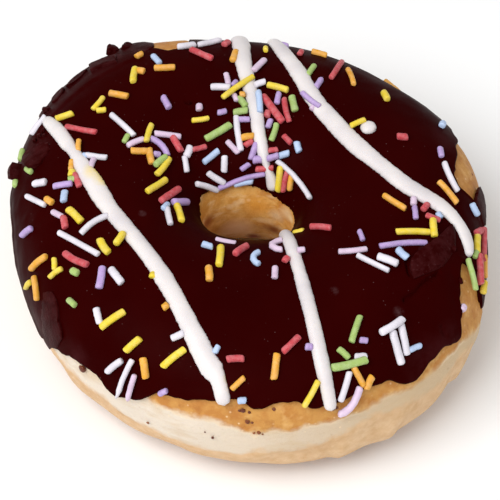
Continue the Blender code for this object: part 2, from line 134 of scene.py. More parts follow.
# Drizzle strands, as (x, y, width) over the plan in millimetres
STRANDS = {
    "long_left": (
        (-40.8, 21.3, 2.2), (-39.2, 18.2, 3.0), (-37.5, 15.0, 3.2), (-35.8, 11.4, 3.0), (-34.2, 8.5, 2.5),
        (-32.0, 3.6, 3.5), (-30.5, 0.9, 4.0), (-27.2, -5.7, 3.6), (-23.0, -12.0, 3.4), (-18.5, -18.9, 3.5),
        (-14.6, -26.4, 3.5), (-10.6, -35.0, 3.8), (-8.0, -40.5, 4.2), (-6.6, -42.6, 4.2),
        (-5.6, -44.2, 3.1), (-4.4, -47.6, 2.8),
    ),
    "back": (
        (-2.0, 46.3, 3.8), (-1.5, 40.0, 3.8), (-1.0, 33.0, 3.4), (0.0, 27.0, 3.0), (1.5, 20.0, 2.8),
        (2.0, 15.5, 2.6), (3.0, 11.5, 2.3), (3.8, 9.4, 1.5), (4.6, 7.8, 2.4), (5.0, 6.4, 2.4),
    ),
    "front": (
        (7.0, -6.4, 2.6), (7.5, -10.0, 2.7), (8.5, -16.0, 2.6), (10.0, -24.0, 2.6), (11.5, -31.5, 2.7),
        (13.0, -39.0, 2.8), (14.5, -45.0, 2.7), (15.3, -47.5, 2.3),
    ),
    "right": (
        (5.0, 46.0, 2.8), (7.0, 38.0, 3.4), (9.8, 31.0, 3.5), (13.0, 23.0, 3.6), (16.5, 17.2, 4.0),
        (21.0, 10.7, 3.9), (26.0, 4.7, 3.7), (31.0, -0.7, 3.6), (36.9, -4.4, 3.5), (39.3, -6.2, 3.2),
        (41.2, -8.5, 2.9), (42.0, -10.3, 2.9), (42.3, -12.1, 2.3), (42.2, -14.0, 1.6),
    ),
    "droplet": ((22.3, 15.7, 2.6), (23.8, 14.8, 3.4), (25.2, 13.9, 2.8)),
}

# Sprinkles on the top by colour, as (x, y, heading, length, bend, lift) over the plan, in millimetres and
# degrees. A bend above 0 curls the ends to the left of the heading.
SPRINKLES = {
    "yellow": (
        (-23.2, 30, 86, 4.6), (-30.1, 22, 60, 4), (-29.4, 19.9, 0, 2), (-36.8, 20.1, 5, 3.5),
        (-9.6, 18, 12, 3.5), (-19.7, 13.8, 78, 4.7, 0, 0.4), (-16.7, 6.2, 63, 5.5, 0, 0.3),
        (-17.9, 1.1, 52, 6), (-13.4, -4.4, -77, 5), (-2.1, 26.1, 43, 8.7, 0, 1.0),
        (5.9, 25.9, -20, 4.5), (6.1, 7.7, 80, 3.2, 0, 0.4), (3.5, 39.0, 90, 1.8), (27.6, 25, -75, 2.8),
        (21.7, 16.2, 30, 3.5, 0, 0.8), (35.5, -10.3, -88, 4.3, 0, 0.3), (31.5, -11.9, 6, 6.7),
        (44.4, -9, 85, 4.3), (11.6, -46, 54, 4.6), (-5.4, -17.1, 87, 6.3, 5), (-34.5, 3.3, 80, 1.5),
        (-33.4, -7.4, -53, 4.7), (-24.5, -13.9, 65, 3.1, 0, 0.6), (-27.5, -15.6, -62, 4, 25),
        (-37.1, -16.8, -87, 2.5), (-36.8, -18.6, 10, 2.6), (-42.8, -15, -50, 2.2),
        (-25.4, -31.1, 22, 5), (-21.5, -36.3, 28, 3.3), (-13.8, -39.7, 28, 4.8),
        (-18.0, -23.1, 80, 1.2, 0, -0.15), (9.8, -8.3, -12, 2.0, 0, -0.5),
    ),
    "orange": (
        (-22.4, 37, 45, 1.8), (-17, 31.8, 0, 4.2), (-21.8, 31.1, -20, 1.6), (-26.1, 24.1, -20, 4.2),
        (-33.5, 10.5, 90, 3, 0, 0.4), (-21.5, 9, 5, 3.4), (-19.3, 8, -80, 3.7),
        (-2.9, 35.7, 80, 3.8, 0, 0.3), (-1.2, 24, 0, 1.2, 0, 0.7), (-0.2, 14.6, 7, 2.6),
        (8.4, 6.5, 75, 2.2), (14.6, 40.4, -25, 3.4), (20.8, 30.6, -80, 6), (38.9, -0.3, -50, 5.5),
        (28.2, -4.7, -40, 5.5), (20.4, -42.5, -50, 3.1), (22.4, -42.9, 60, 2.3), (5, -42.3, 82, 4.5),
        (-1.9, -44.9, 35, 3), (-7.4, -22.5, -85, 3.7), (-34.7, 5.4, 88, 2.6), (-38.7, -2.3, -50, 2.2),
        (-40.4, -14.2, -5, 3.3), (-41.0, -17.9, -80, 4.2), (-19.3, -40.2, -80, 3),
        (-15.5, -30.1, 40, 1.3, 0, -0.1),
    ),
    "white": (
        (-25, 15.7, -50, 7.5), (-12.8, 40.2, 18, 3.9), (-8, 42.4, 42, 6.3, 35), (-2.05, 15.5, -82, 6.9),
        (-4.8, 10.1, 88, 2.5), (-6.4, 7.8, -12, 3.5), (-8.2, 6, 12, 4.4), (-5.6, 26, -2, 4),
        (2.3, 27, 25, 2.4, 0, 0.8), (-12.4, 8.3, -80, 3.2), (-11.9, 10.9, 70, 2.4),
        (9.2, 6.1, -53, 11, -40, 0.3), (-15.4, -6.6, -80, 4.9), (-29.9, 7.2, -12, 4.4),
        (39.6, 3.9, -70, 7, 20), (23.5, -19.9, -32, 7.1, 10), (26.3, -19.1, -24, 4.2, 0, 0.7),
        (26.7, -33.1, 38, 5.6, 0, 0.9), (27.6, -36.5, -71, 5.3), (29, -34.9, -76, 5),
        (17.9, -44.2, 68, 4.6), (20.7, -39.5, 12, 2.5, 0, -0.7), (-40.9, 3.2, -20, 2.7),
        (-41.6, -0.6, -50, 6.3, 8), (-29.7, -9.9, 38, 6.5, -35), (-32.5, -14, -41, 10.7),
        (-24.9, -22.7, -57, 4.2), (-28.2, -29.9, -75, 3.2), (-25, -38.2, 5, 3),
        (-23.2, -40, 40, 4.5, 0, 0.35), (-13.1, -36.1, 20, 2.5),
    ),
    "pink": (
        (-16, 13.75, 0, 5.3), (-22.3, 11.2, 33, 3.9, -20), (-9.85, 20.8, 90, 1.6),
        (-3.15, 12.8, -42, 3.2), (-4.3, 28.3, -80, 3.2), (2.15, 32.5, 58, 4.4, 0, 0.3),
        (-2.6, 23.2, -70, 1.8), (12.9, 20.5, 60, 1.5), (31.9, -4.3, 85, 2), (19.8, -16.8, 5, 5.5),
        (40.8, -25, 65, 1.4, 0, -0.6), (18.9, -45.9, 42, 5.6, 60), (5, -22, 88, 3.3),
        (5.5, -12.8, 90, 6.5, -170), (10, -15.6, 0, 1.5, 0, 0.9), (-30.6, 5.5, 75, 2.6),
        (-36.9, -6.2, -43, 2.8), (-21.8, -41.4, 50, 2.2, 0, 0.3), (-4.4, -11.4, -12, 4.0, 0, -0.4),
    ),
    "lavender": (
        (-17.5, 11, -45, 5.2, -60), (-18, 8.75, 0, 1.4), (-16.5, 21.8, -66, 3.3), (-5.3, 19.8, 15, 1.9),
        (-1.4, 7.9, 12, 9.6, -25), (-0.65, 9.75, 25, 2), (-2.8, 27, 60, 1.6), (5.9, 23, 80, 2.9),
        (4.15, 17.1, 70, 1.9), (-0.85, 18.1, 0, 2.3), (4.85, 10.8, 8, 2.4, 0, 0.5), (1.8, 10.7, 0, 2),
        (1, 12.1, 68, 3), (-13.3, -0.6, 42, 4), (14.1, 27.2, 65, 2.8), (12.4, 22.5, -48, 5.5, 15, 0.6),
        (38, 10, -85, 2.6), (32.1, -7.2, -87, 3.2), (21.5, -13, -75, 2.8), (29.5, -15, 10, 9.4, -8),
        (21.4, -36.6, 0, 1.6), (11.2, -38.7, 0, 1.5), (-36.2, 0.75, -4, 3.9), (-43.2, -6.1, -15, 2.4),
        (-27.85, -22.6, 83, 4.5, 10), (-15.8, -44.1, 0, 1.5), (7.4, 43.2, -30, 2),
    ),
    "blue": (
        (-18.8, 34.8, -63, 3.4), (-7.4, 10.9, 40, 4), (2.15, 22.2, -86, 5.3, 0, 0.8),
        (9.8, 11.8, -75, 2.2), (7, 10.9, 5, 2.3), (-1, 7.8, 5, 4, 0, -0.4), (-16.1, -3.9, 65, 2.2),
        (44.3, -1.2, -55, 2.2), (29.2, -17.5, -47, 2.8), (31.1, -35.8, 33, 2.7), (-1.2, -47.3, 0, 1.6),
        (-7.85, -14.1, -20, 2.3), (1.5, -17.5, 90, 5, -120), (-35.75, -2.25, 86, 2.7),
        (-31.8, 7.6, 0, 1.5), (36.8, -6.9, -60, 1.4), (-5.9, -39.2, 60, 1.6, 0, -0.2),
        (39.0, 20.6, 80, 2.4),
    ),
    "green": (
        (-6.05, 15.5, 32, 6), (-24.2, 12, 70, 2.2), (-17.3, 7.4, 50, 3.4, 0, 0.5),
        (-1.2, 22.2, -60, 2.9), (-1.6, 19.9, 10, 3), (9, 21.6, -80, 4), (5.1, 15.3, 72, 3.6),
        (12.65, 31.3, 68, 4), (42.9, -17, -73, 5), (44, -11.7, 70, 2.5), (19.9, -34.6, 72, 5.6),
        (17.6, -39.3, -35, 2.6), (18.7, -40.9, 19, 7, 12, 0.3), (-34.5, 1.8, 0, 1.4),
        (-32.95, -20.1, -40, 1.7), (-33.4, -25.7, -50, 2.3), (-46.4, 8.9, 90, 1.8),
        (-43.5, 8.4, -60, 2.4),
    ),
    "red": (
        (-33.3, 15.1, -25, 7, 20), (-14.2, 12.1, -60, 3.6), (-9.85, 12, 22, 3.3),
        (-9.6, 36.4, -40, 5.9), (4.85, 20.4, -58, 7.6), (3.8, 19.3, 80, 1.6), (7.55, 20, -80, 5.9),
        (7.7, 13.6, -48, 2.5), (4.9, 12, 0, 1.9), (0.05, 13.4, 25, 1.9), (3.2, 9.3, -3, 3.6),
        (7.35, 7.1, 70, 2.8), (-15.3, -0.1, 57, 6.6), (18.0, 33.2, 73, 8.6, 10), (-4.6, 41.7, 70, 2.6),
        (10.7, 38.7, 80, 2.5), (30.4, 12.6, 0, 2.2), (34.1, -5.5, 60, 2), (35.5, -7.8, -15, 2.8),
        (13.9, -8.9, -30, 4.6), (44.9, -5.8, 60, 3), (7.1, -18.2, 60, 1.6, 0, 0.5),
        (-1.4, -14.5, 57, 4.7), (7.9, -38.3, 45, 4.5), (-2.4, -41, 0, 3.3), (-33.4, 1.3, -72, 3.8),
        (-35.4, -8.6, -80, 2.8), (-32.9, -17.5, -40, 6.2, 25),
    ),
}

# Sprinkles down the outside, as (colour, turn, rise, heading from level, length)
SIDE_SPRINKLES = (
    ("red", 350, 24, 5, 8.2), ("red", 341.2, 28, 20, 6.0), ("orange", 344.4, 21, 17, 4.5),
    ("yellow", 338.8, 19, 8, 2.8), ("orange", 50, 18, 30, 5.0), ("lavender", 66, 15, -35, 4.0),
    ("white", 86, 16, 60, 4.5), ("white", 154.5, 39.5, -32, 5.0), ("green", 162, 27, 5, 3.0),
)

# Flakes and chips of frosting, as (turn, rise, across, along, thickness, heading from level, tilt, lift)
FLAKES = (
    (124.6, 40, 2.9, 2.8, 1.8, 25, 35, 0.7), (121.2, 42, 3.0, 2.0, 1.5, 30, 32, 0.2),
    (137, 42, 6.5, 2.6, 0.7, 0, 8, 0.05), (143, 38, 6.0, 2.6, 0.7, 5, 8, 0.05),
    (149, 34, 3.5, 2.0, 0.7, -5, 8, 0.05), (148.8, 39, 1.6, 1.8, 1.0, 30, 25, 0.5),
    (166.8, 23, 5.4, 3.0, 2.6, 5, -10, 0.45), (157.3, 47, 1.2, 1.0, 0.8, 10, 20, 0.2),
    (158.6, 44.5, 1.0, 0.9, 0.7, 60, 20, 0.2), (159.8, 41, 1.3, 1.0, 0.7, 20, 20, 0.2),
    (156.2, 50, 0.9, 0.8, 0.6, -30, 20, 0.1), (158.8, 49.5, 0.8, 0.8, 0.5, 0, 0, 0.1),
    (340, 53, 1.3, 1.2, 0.5, 20, 10, 0.1), (333.0, 42, 1.4, 1.0, 0.6, 50, 20, 0.0),
    (332, 60, 0.8, 0.7, 0.5, 0, 10, 0.1), (329, 63, 0.7, 0.6, 0.5, 40, 10, 0.1),
)
# Broken plates of frosting, as a thickness and corners of (turn, rise, lift of the top), in millimetres
PLATES = (
    (1.0, (
        (347.4, 57.5, 0.8), (336.2, 69.5, 0.9), (332.1, 72.8, 0.85), (328.3, 74.7, 0.8), (325.3, 72.9, 0.7),
        (323.3, 67.5, 0.4), (328.7, 61.7, 0.15), (332.5, 56.7, 0.1), (335.9, 54.3, 0.05), (341, 51.5, 0.1),
        (347.3, 53.6, 0.3),
    )),
    (1.0, (
        (210.7, 36, 0.3), (214.7, 33, 0.45), (217.1, 28, 0.5), (219.9, 23, 0.5), (220.4, 19.5, 0.45),
        (219.3, 9.5, 0.2), (214, -5, 0.05), (209.9, -5.5, -0.1), (207.6, 1.5, -0.2), (206, 12.5, -0.2),
        (206.3, 24.5, -0.1),
    )),
    (1.2, (
        (164.8, 35, 1.2), (163.9, 38.5, 1.2), (162.3, 50, 0.8), (162.2, 55.6, 0.4), (164.8, 57.5, 0.2),
        (169.5, 52.5, 0.6), (170.5, 44, 1.4), (167.2, 37, 1.5),
    )),
    (2.0, ((134.2, 51.5, 0.9), (132, 42.5, 0.9), (125.8, 51.5, 0.7), (128, 60, 0.7))),
    (0.8, (
        (8.0, 28, -0.1), (4.0, 34, 0.1), (-0.5, 38, 0.15), (-4, 32, 0.0), (-2, 18, -0.2), (5, 17, -0.3),
    )),
    (1.0, (
        (114.8, 46, 0.15), (116.5, 56, 0.1), (121, 60, 0.1), (127, 58, 0.1), (128, 44, 0.4),
        (121.5, 38, 0.6), (117.3, 38, 0.5),
    )),
)
FLAKE_SEED = 4

# Crumbs and drops of frosting on the bare dough, as (turn, rise, size in millimetres)
CRUMBS = (
    (227.8, 8.2, 1.7), (268.8, 26.0, 0.9), (270.2, 25.0, 0.6), (268.0, 25.5, 0.5), (269.8, 18.2, 0.9),
    (270.8, 17.6, 0.5), (272.2, 10.0, 0.8), (271.2, 9.4, 0.5), (273.0, 8.6, 0.4), (288.6, 22.0, 0.9),
    (289.4, 21.6, 0.6), (275.6, 27.5, 0.7), (246.6, -4.3, 0.6), (262.2, 1.1, 0.6), (260.5, 4.0, 0.35),
    (12.0, 30.0, 0.5), (352.0, 46.0, 0.4), (58.0, -4.0, 0.5), (104.0, 16.0, 0.6), (140.0, -6.0, 0.5),
    (190.0, -28.0, 0.4), (25.0, 10.0, 0.5),
)

COLOURS = {
    "yellow": (0.80, 0.60, 0.035), "orange": (0.78, 0.37, 0.035), "white": (0.74, 0.70, 0.77),
    "pink": (0.68, 0.52, 0.67), "lavender": (0.45, 0.31, 0.60), "blue": (0.45, 0.57, 0.80),
    "green": (0.36, 0.50, 0.14), "red": (0.55, 0.06, 0.075),
}

# Where the icing is stained by a sprinkle under it, as (x, y) over the plan and a reach, in millimetres
STAINS = (
    (-29.9, 2.4, 2.9), (-28.8, -0.2, 2.1), (-0.6, 26.6, 1.9), (1.2, 23.4, 1.2), (-4.8, -44.2, 1.3),
    (-33.6, 8.0, 1.0),
)
# Spots of the hole's wall, as (turn, rise, reach in millimetres, colour). The large pale spot at (110, 194)
# is a painted pool of light, the dark spots at rises 192 and 208 are painted shade low in the hole, and the
# rest are tones and a pale streak of the crust
WALL_SPOTS_LIGHT_AND_SHADE = (
    (157, 177, 2.2, (0.36, 0.1, 0.02)), (75, 173, 3.4, (0.8, 0.36, 0.06)),
    (110, 194, 4.4, (0.97, 0.62, 0.34)), (83, 208, 2.0, (0.3, 0.06, 0.015)),
    (49, 192, 2.4, (0.3, 0.08, 0.01)), (28, 172, 2.2, (0.76, 0.5, 0.26)),
    (43, 178, 2.2, (0.76, 0.5, 0.26)), (122, 173, 1.1, (0.9, 0.62, 0.32)),
    (112, 171, 1.2, (0.9, 0.62, 0.32)), (103, 169, 1.1, (0.9, 0.62, 0.32)),
    (90, 168, 0.8, (0.9, 0.62, 0.32)), (71, 169, 0.7, (0.9, 0.62, 0.32)),
    (68, 184, 1.3, (0.9, 0.62, 0.32)), (20, 173, 1.2, (0.9, 0.66, 0.36)),
    (8, 171, 1.1, (0.9, 0.66, 0.36)),
)
# Where a purplish sheen is painted into the frosting's colour, on flanks seen at a grazing angle, as (turn,
# rise, reach in millimetres)
PAINTED_SHEEN_PATCHES = (
    (141, 44, 8.0), (130, 50, 7.0), (150, 40, 6.0), (208, 4, 8.0), (214, 12, 6.0), (352, 22, 6.0),
    (343, 18, 6.0), (226, 16, 4.0), (165, 40, 6.0), (20, 48, 5.0), (312, 26, 6.0), (320, 24, 5.0),
    (163, 24, 6.0),
)
# Where the frosting is scuffed and greyish, as (x, y) over the plan and a reach, in millimetres
SCUFFS = (
    (34.6, -17.2, 2.2), (35.8, -15.2, 2.0), (33.6, -16.4, 1.6), (28.0, -30.5, 1.4), (-20.5, -7.5, 1.0),
    (33.5, -40.5, 1.0), (16.0, -27.0, 1.2),
)

# Breaks in the frosting over the plan, in millimetres. A flap is a line with its left side raised, as
# (line, height, run), and a crack is a line with a half width and a depth.
FLAPS = ((((-40.0, 20.0), (-36.5, 24.5), (-31.0, 29.5), (-24.0, 34.5)), 0.25, 6.0),)
CRACKS = (
    (((36.0, -20.6), (32.9, -23.7), (31.7, -25.5), (29.1, -28.0)), 0.5, 0.85),
    (((29.9, -18.8), (30.3, -22.2)), 0.5, 0.85),
    (((36.2, -30.6), (36.7, -31.8)), 0.35, 0.4),
    (((-12.5, 21.8), (-11.5, 21.8)), 0.4, 0.9),
)
# Lump sizes of its relief
RIPPLE_SIZE = 2.6 * MM
CRUMPLE_COARSE = 6.5 * MM
CRUMPLE_FINE = 2.2 * MM
# Where its top is crumpled, as a strength and a patch of the ring for patch()
CRUMPLED = ((1.0, (155.0, 40.0, 0.0, 60.0, 16.0)), (0.7, (345.0, 17.0, 0.0, 58.0, 10.0)))

# Tones of the dough, beside the colours in its settings
HONEY = (0.74, 0.45, 0.17)
TOASTED = (0.38, 0.14, 0.03)
BROWNED = (0.4, 0.145, 0.03)
LIGHT_TAN = (0.74, 0.51, 0.3)
CREAM = (0.88, 0.74, 0.53)
LOWEST_BROWN = (0.43, 0.19, 0.06)
WALL_LIGHT = (0.82, 0.46, 0.14)
WALL_DARK = (0.5, 0.17, 0.03)
WALL_STREAK = (0.88, 0.62, 0.34)
SPECK = (0.3, 0.11, 0.03)
SUGAR_CRUMB = (0.92, 0.74, 0.48)
GRAIN_BROWN = (0.4, 0.18, 0.06)
# Tones of the frosting and of the icing
DUST = (0.16, 0.085, 0.085)
# The purplish tone of the painted sheen
SHEEN_PURPLE = (0.044, 0.008, 0.009)
SCUFFED = (0.075, 0.032, 0.034)
BREAK_DEEP = (0.024, 0.0005, 0.0005)
# The purplish tone of the plates' painted sheen
BREAK_SHEEN = (0.038, 0.0045, 0.005)
BREAK_GRAIN = (0.08, 0.03, 0.032)
CRUMB_DARK = (0.11, 0.022, 0.008)
CRUMB_THIN = (0.3, 0.1, 0.03)
STAIN_YELLOW = (0.9, 0.67, 0.13)

# The master sprinkle, in its own radii: half its length, and the length of the ends that aren't stretched
ROD_HALF = 4.0
ROD_END = 1.0

# The stage. Area lamps are (name, place, size, watts).
LAMPS = (("key", (-0.45, -0.4, 0.85), 0.7, 9.0), ("fill", (0.4, -0.6, 0.7), 0.8, 1.4))
SKY_STRENGTH = 0.55
FLOOR_SIZE = 4.0
FLOOR_GAP = 0.1 * MM
SENSOR_MM = 36.0
PHOTO_WIDTH_PX = 500.0


def smooth_step(value):
    """0 below 0, 1 above 1, and an S curve between them."""
    value = min(1.0, max(0.0, value))
    return value * value * (3.0 - 2.0 * value)


def round_the_ring(rows, turn):
    """Reads a closed table at any turn. Each row starts with its turn, and what follows it is blended."""
    turn %= 360.0
    for index, start in enumerate(rows):
        end = rows[(index + 1) % len(rows)]
        span, along = (end[0] - start[0]) % 360.0, (turn - start[0]) % 360.0
        if along < span:
            share = smooth_step(along / span)
            return [before + (after - before) * share for before, after in zip(start[1:], end[1:])]
    return rows[0][1:]


def outer_edge(turn):
    """The rise at which the frosting ends on the outside."""
    wobble = EDGE_WOBBLE * math.sin(math.radians(EDGE_WAVES * turn)) * math.sin(math.radians(5.0 * turn))
    return round_the_ring(OUTER_EDGE, turn)[0] + wobble


def inner_edge(turn):
    """The rise at which the frosting ends inside the hole."""
    return round_the_ring(INNER_EDGE, turn)[0]


def hook(turn, rise):
    """How far the frosting runs back along the side round the tongue's tail."""
    start, peak, end = HOOK_TURNS
    turn = turn if turn >= start else turn + 360.0
    share = (turn - start) / (peak - start) if turn < peak else (end - turn) / (end - peak)
    drop = max(0.0, HOOK_TOP - rise) / HOOK_DROP
    return HOOK_REACH * smooth_step(share) * drop * drop


def pale_band(turn):
    """The rises of the pale band's upper and lower borders."""
    return round_the_ring(PALE_BAND, turn)


def section(turn):
    """Mid radius and half width of the ring's section at a turn."""
    outer = OUTER_RADIUS
    for order, depth, peak in OUTER_LOBES:
        outer += depth * math.cos(math.radians(order * (turn - peak)))
    hole = HOLE_RADIUS + HOLE_OVAL * math.cos(math.radians(2.0 * turn))
    return (outer + hole) / 2.0, (outer - hole) / 2.0


def skin(turn, rise, offset=0.0):
    """A point on the ring's skin, moved out by an offset."""
    mid, half = section(turn)
    flat, steep = math.cos(math.radians(rise)), math.sin(math.radians(rise))
    power = 2.0 / FULLNESS
    radius = mid + (half + offset) * math.copysign(abs(flat) ** power, flat)
    height = BASE_DROP + (CROWN_RISE + offset) * math.copysign(abs(steep) ** power, steep)
    angle = math.radians(turn)
    return Vector((radius * math.cos(angle), radius * math.sin(angle), max(0.0, height))) + CENTRE_SHIFT


def skin_frame(turn, rise, offset):
    """A place on the skin with its outward normal, its way round the ring and its way up the section."""
    step = 0.5
    place = skin(turn, rise, offset)
    way_round = (skin(turn + step, rise, offset) - skin(turn - step, rise, offset)).normalized()
    way_up = (skin(turn, rise + step, offset) - skin(turn, rise - step, offset)).normalized()
    return place, way_round.cross(way_up).normalized(), way_round, way_up


def around(point):
    """The turn and rise of a point near the skin, the rise between -90 and 270."""
    flat = Vector((point.x, point.y)) - CENTRE_SHIFT.to_2d()
    turn = math.degrees(math.atan2(flat.y, flat.x))
    mid, half = section(turn)
    across = (flat.length - mid) / half
    up = (point.z - BASE_DROP) / CROWN_RISE
    power = FULLNESS / 2.0
    steep, flat = math.copysign(abs(up) ** power, up), math.copysign(abs(across) ** power, across)
    rise = math.degrees(math.atan2(steep, flat))
    return turn, rise if rise > -90.0 else rise + 360.0


def over_top(x, y, offset=0.0):
    """The turn and rise on top of the ring, over a point of the plan in metres from the hole's middle."""
    turn = math.degrees(math.atan2(y, x))
    mid, half = section(turn)
    across = (math.hypot(x, y) - mid) / (half + offset)
    across = max(-0.995, min(0.995, across))
    rise = math.degrees(math.acos(math.copysign(abs(across) ** (FULLNESS / 2.0), across)))
    return turn, rise


def dough_offset(turn, rise):
    """How far the dough stands out of the skin: it is sunk under the frosting, and swells in places."""
    start, full = SINK_OUTSIDE if rise > 270.0 else SINK_IN_HOLE
    signed = rise - 360.0 if rise > 270.0 else rise
    sunk = -DOUGH_SINK * smooth_step((signed - start) / (full - start))
    return sunk + sum(swell[5] * patch(turn, signed, *swell[:5]) for swell in SWELLS)


def frosting_offset(turn, rise, top, bead):
    """How far the frosting's top stands out of the skin, without its fine relief."""
    place = skin(turn, rise)
    swell = WAVE_DEPTH * noise.noise(place / WAVE_LENGTH)
    from_edge = min(rise - outer_edge(turn), inner_edge(turn) - rise) / LIP_RUN
    return top + swell + bead * (1.0 - smooth_step(from_edge))


def over_plan(x, y):
    """The point of the skin's top over a point of the plan that is given in millimetres."""
    return skin(*over_top(x * MM, y * MM))


def angle_from(turn, middle):
    """The turn counted from a middle, between -180 and 180."""
    return (turn - middle + 180.0) % 360.0 - 180.0


def patch(turn, rise, middle, reach, low, high, fade):
    """1 inside a patch of the ring and 0 outside it, with a soft border."""
    sideways = smooth_step((reach - abs(angle_from(turn, middle))) / (0.35 * reach))
    upwards = smooth_step((rise - low) / fade) * smooth_step((high - rise) / fade)
    return sideways * upwards


def away_from_line(point, line):
    """Distance in the plan from a point to a broken line, in millimetres, and the side it is on."""
    nearest, side = 1e9, 1.0
    for index in range(len(line) - 1):
        start, end = Vector(line[index]), Vector(line[index + 1])
        way = end - start
        share = max(0.0, min(1.0, (point - start).dot(way) / way.length_squared))
        gap = point - (start + way * share)
        if gap.length < nearest:
            nearest = gap.length
            side = 1.0 if way.x * gap.y - way.y * gap.x > 0.0 else -1.0
    return nearest, side


def fine_relief(turn, rise, place, settings):
    """The crumples, cracks, flaps and faint ripple of the frosting's top."""
    ripple = settings.ripple_depth * noise.noise(place / RIPPLE_SIZE)
    crumple = 0.0
    rough = max(strength * patch(turn, rise, *where) for strength, where in CRUMPLED)
    if rough > 0.0:
        coarse = noise.noise(place / CRUMPLE_COARSE + Vector((3.1, 0.4, 7.7)))
        fine = noise.noise(place / CRUMPLE_FINE + Vector((0.3, 5.4, 1.1)))
        crumple = settings.crumple_depth * rough * (1.2 * coarse + 0.45 * fine)
    plan = Vector((place.x - CENTRE_SHIFT.x, place.y - CENTRE_SHIFT.y)) / MM
    step = groove = 0.0
    if rise < 100.0:
        for line, height, run in FLAPS:
            gap, side = away_from_line(plan, line)
            if gap < run:
                step += height * MM * smooth_step(0.5 + side * gap / 0.5) * (1.0 - smooth_step(gap / run))
    for line, half, depth in CRACKS:
        gap, _ = away_from_line(plan, line)
        groove = min(groove, -depth * MM * (1.0 - smooth_step(gap / half)))
    return ripple + crumple + step + groove


def on_frosting(x, y, lift, settings):
    """A place a given lift above the frosting, and the normal there, in line with a point of the plan.

    The plan was read along the line of sight on the ring's skin, so what stands higher is met along
    that line.
    """
    turn, rise = over_top(x, y)
    point = skin(turn, rise)
    for _ in range(3):
        offset = frosting_offset(turn, rise, settings.top_offset, settings.lip_bead) + lift
        turn, rise = over_top(point.x - CENTRE_SHIFT.x, point.y - CENTRE_SHIFT.y, offset)
        place, normal, _, _ = skin_frame(turn, rise, offset)
        point += SIGHT * ((place - point).dot(normal) / max(0.3, SIGHT.dot(normal)))
    return place, normal


def edge_columns(count):
    """Turns for the frosting's columns, closer together where its outer edge runs steeply."""
    samples = 3600
    lengths = [0.0]
    for index in range(samples):
        turn, following = 360.0 * index / samples, 360.0 * (index + 1) / samples
        step = skin(following, outer_edge(following)) - skin(turn, outer_edge(turn))
        lengths.append(lengths[-1] + step.length)
    turns = []
    index = 0
    for column in range(count):
        wanted = lengths[-1] * column / count
        while lengths[index + 1] < wanted:
            index += 1
        share = (wanted - lengths[index]) / max(1e-12, lengths[index + 1] - lengths[index])
        turns.append(360.0 * (index + share) / samples)
    return turns


def smooth_route(points, step):
    """Points a step apart in the plan along a smooth curve through the given ones."""
    padded = [points[0] * 2 - points[1]] + list(points) + [points[-1] * 2 - points[-2]]
    route = []
    for index in range(1, len(padded) - 2):
        before, start, end, after = padded[index - 1:index + 3]
        pieces = max(1, round((end - start).length / step))
        for piece in range(pieces):
            t = piece / pieces
            bend = (before * -1 + start * 3 - end * 3 + after) * t * t * t
            bend += (before * 2 - start * 5 + end * 4 - after) * t * t
            route.append((bend + (end - before) * t + start * 2) / 2)
    route.append(points[-1])
    return route


def begin():
    """Leaves edit mode and deselects everything, so that the next operator acts on its own piece alone."""
    if bpy.context.mode != "OBJECT":
        bpy.ops.object.mode_set(mode="OBJECT")
    bpy.ops.object.select_all(action="DESELECT")


def finish_piece(piece, node):
    """Ties a piece to the frame."""
    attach(piece, BODY)
    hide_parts(node)


def shape_grid(name, columns, rows, place):
    """A grid primitive rolled up by place(column, row): its last column and row land on its first ones."""
    begin()
    bpy.ops.mesh.primitive_grid_add(x_subdivisions=columns, y_subdivisions=rows, size=2.0)
    piece = bpy.context.object
    piece.name = name
    piece.data.name = name
    for vertex in piece.data.vertices:
        column = round((vertex.co.x + 1.0) / 2.0 * columns)
        row = round((vertex.co.y + 1.0) / 2.0 * rows)
        vertex.co = place(column, row)
    bpy.ops.object.mode_set(mode="EDIT")
    bpy.ops.mesh.select_all(action="SELECT")
    bpy.ops.mesh.remove_doubles(threshold=1e-6)
    bpy.ops.mesh.normals_make_consistent(inside=False)
    bpy.ops.object.mode_set(mode="OBJECT")
    bpy.ops.object.shade_smooth()
    return piece


def join_pieces(name, parts):
    """Joins objects into one that keeps the given name."""
    begin()
    for part in parts:
        part.select_set(True)
    bpy.context.view_layer.objects.active = parts[0]
    if len(parts) > 1:
        bpy.ops.object.join()
    piece = bpy.context.object
    piece.name = name
    piece.data.name = name
    return piece


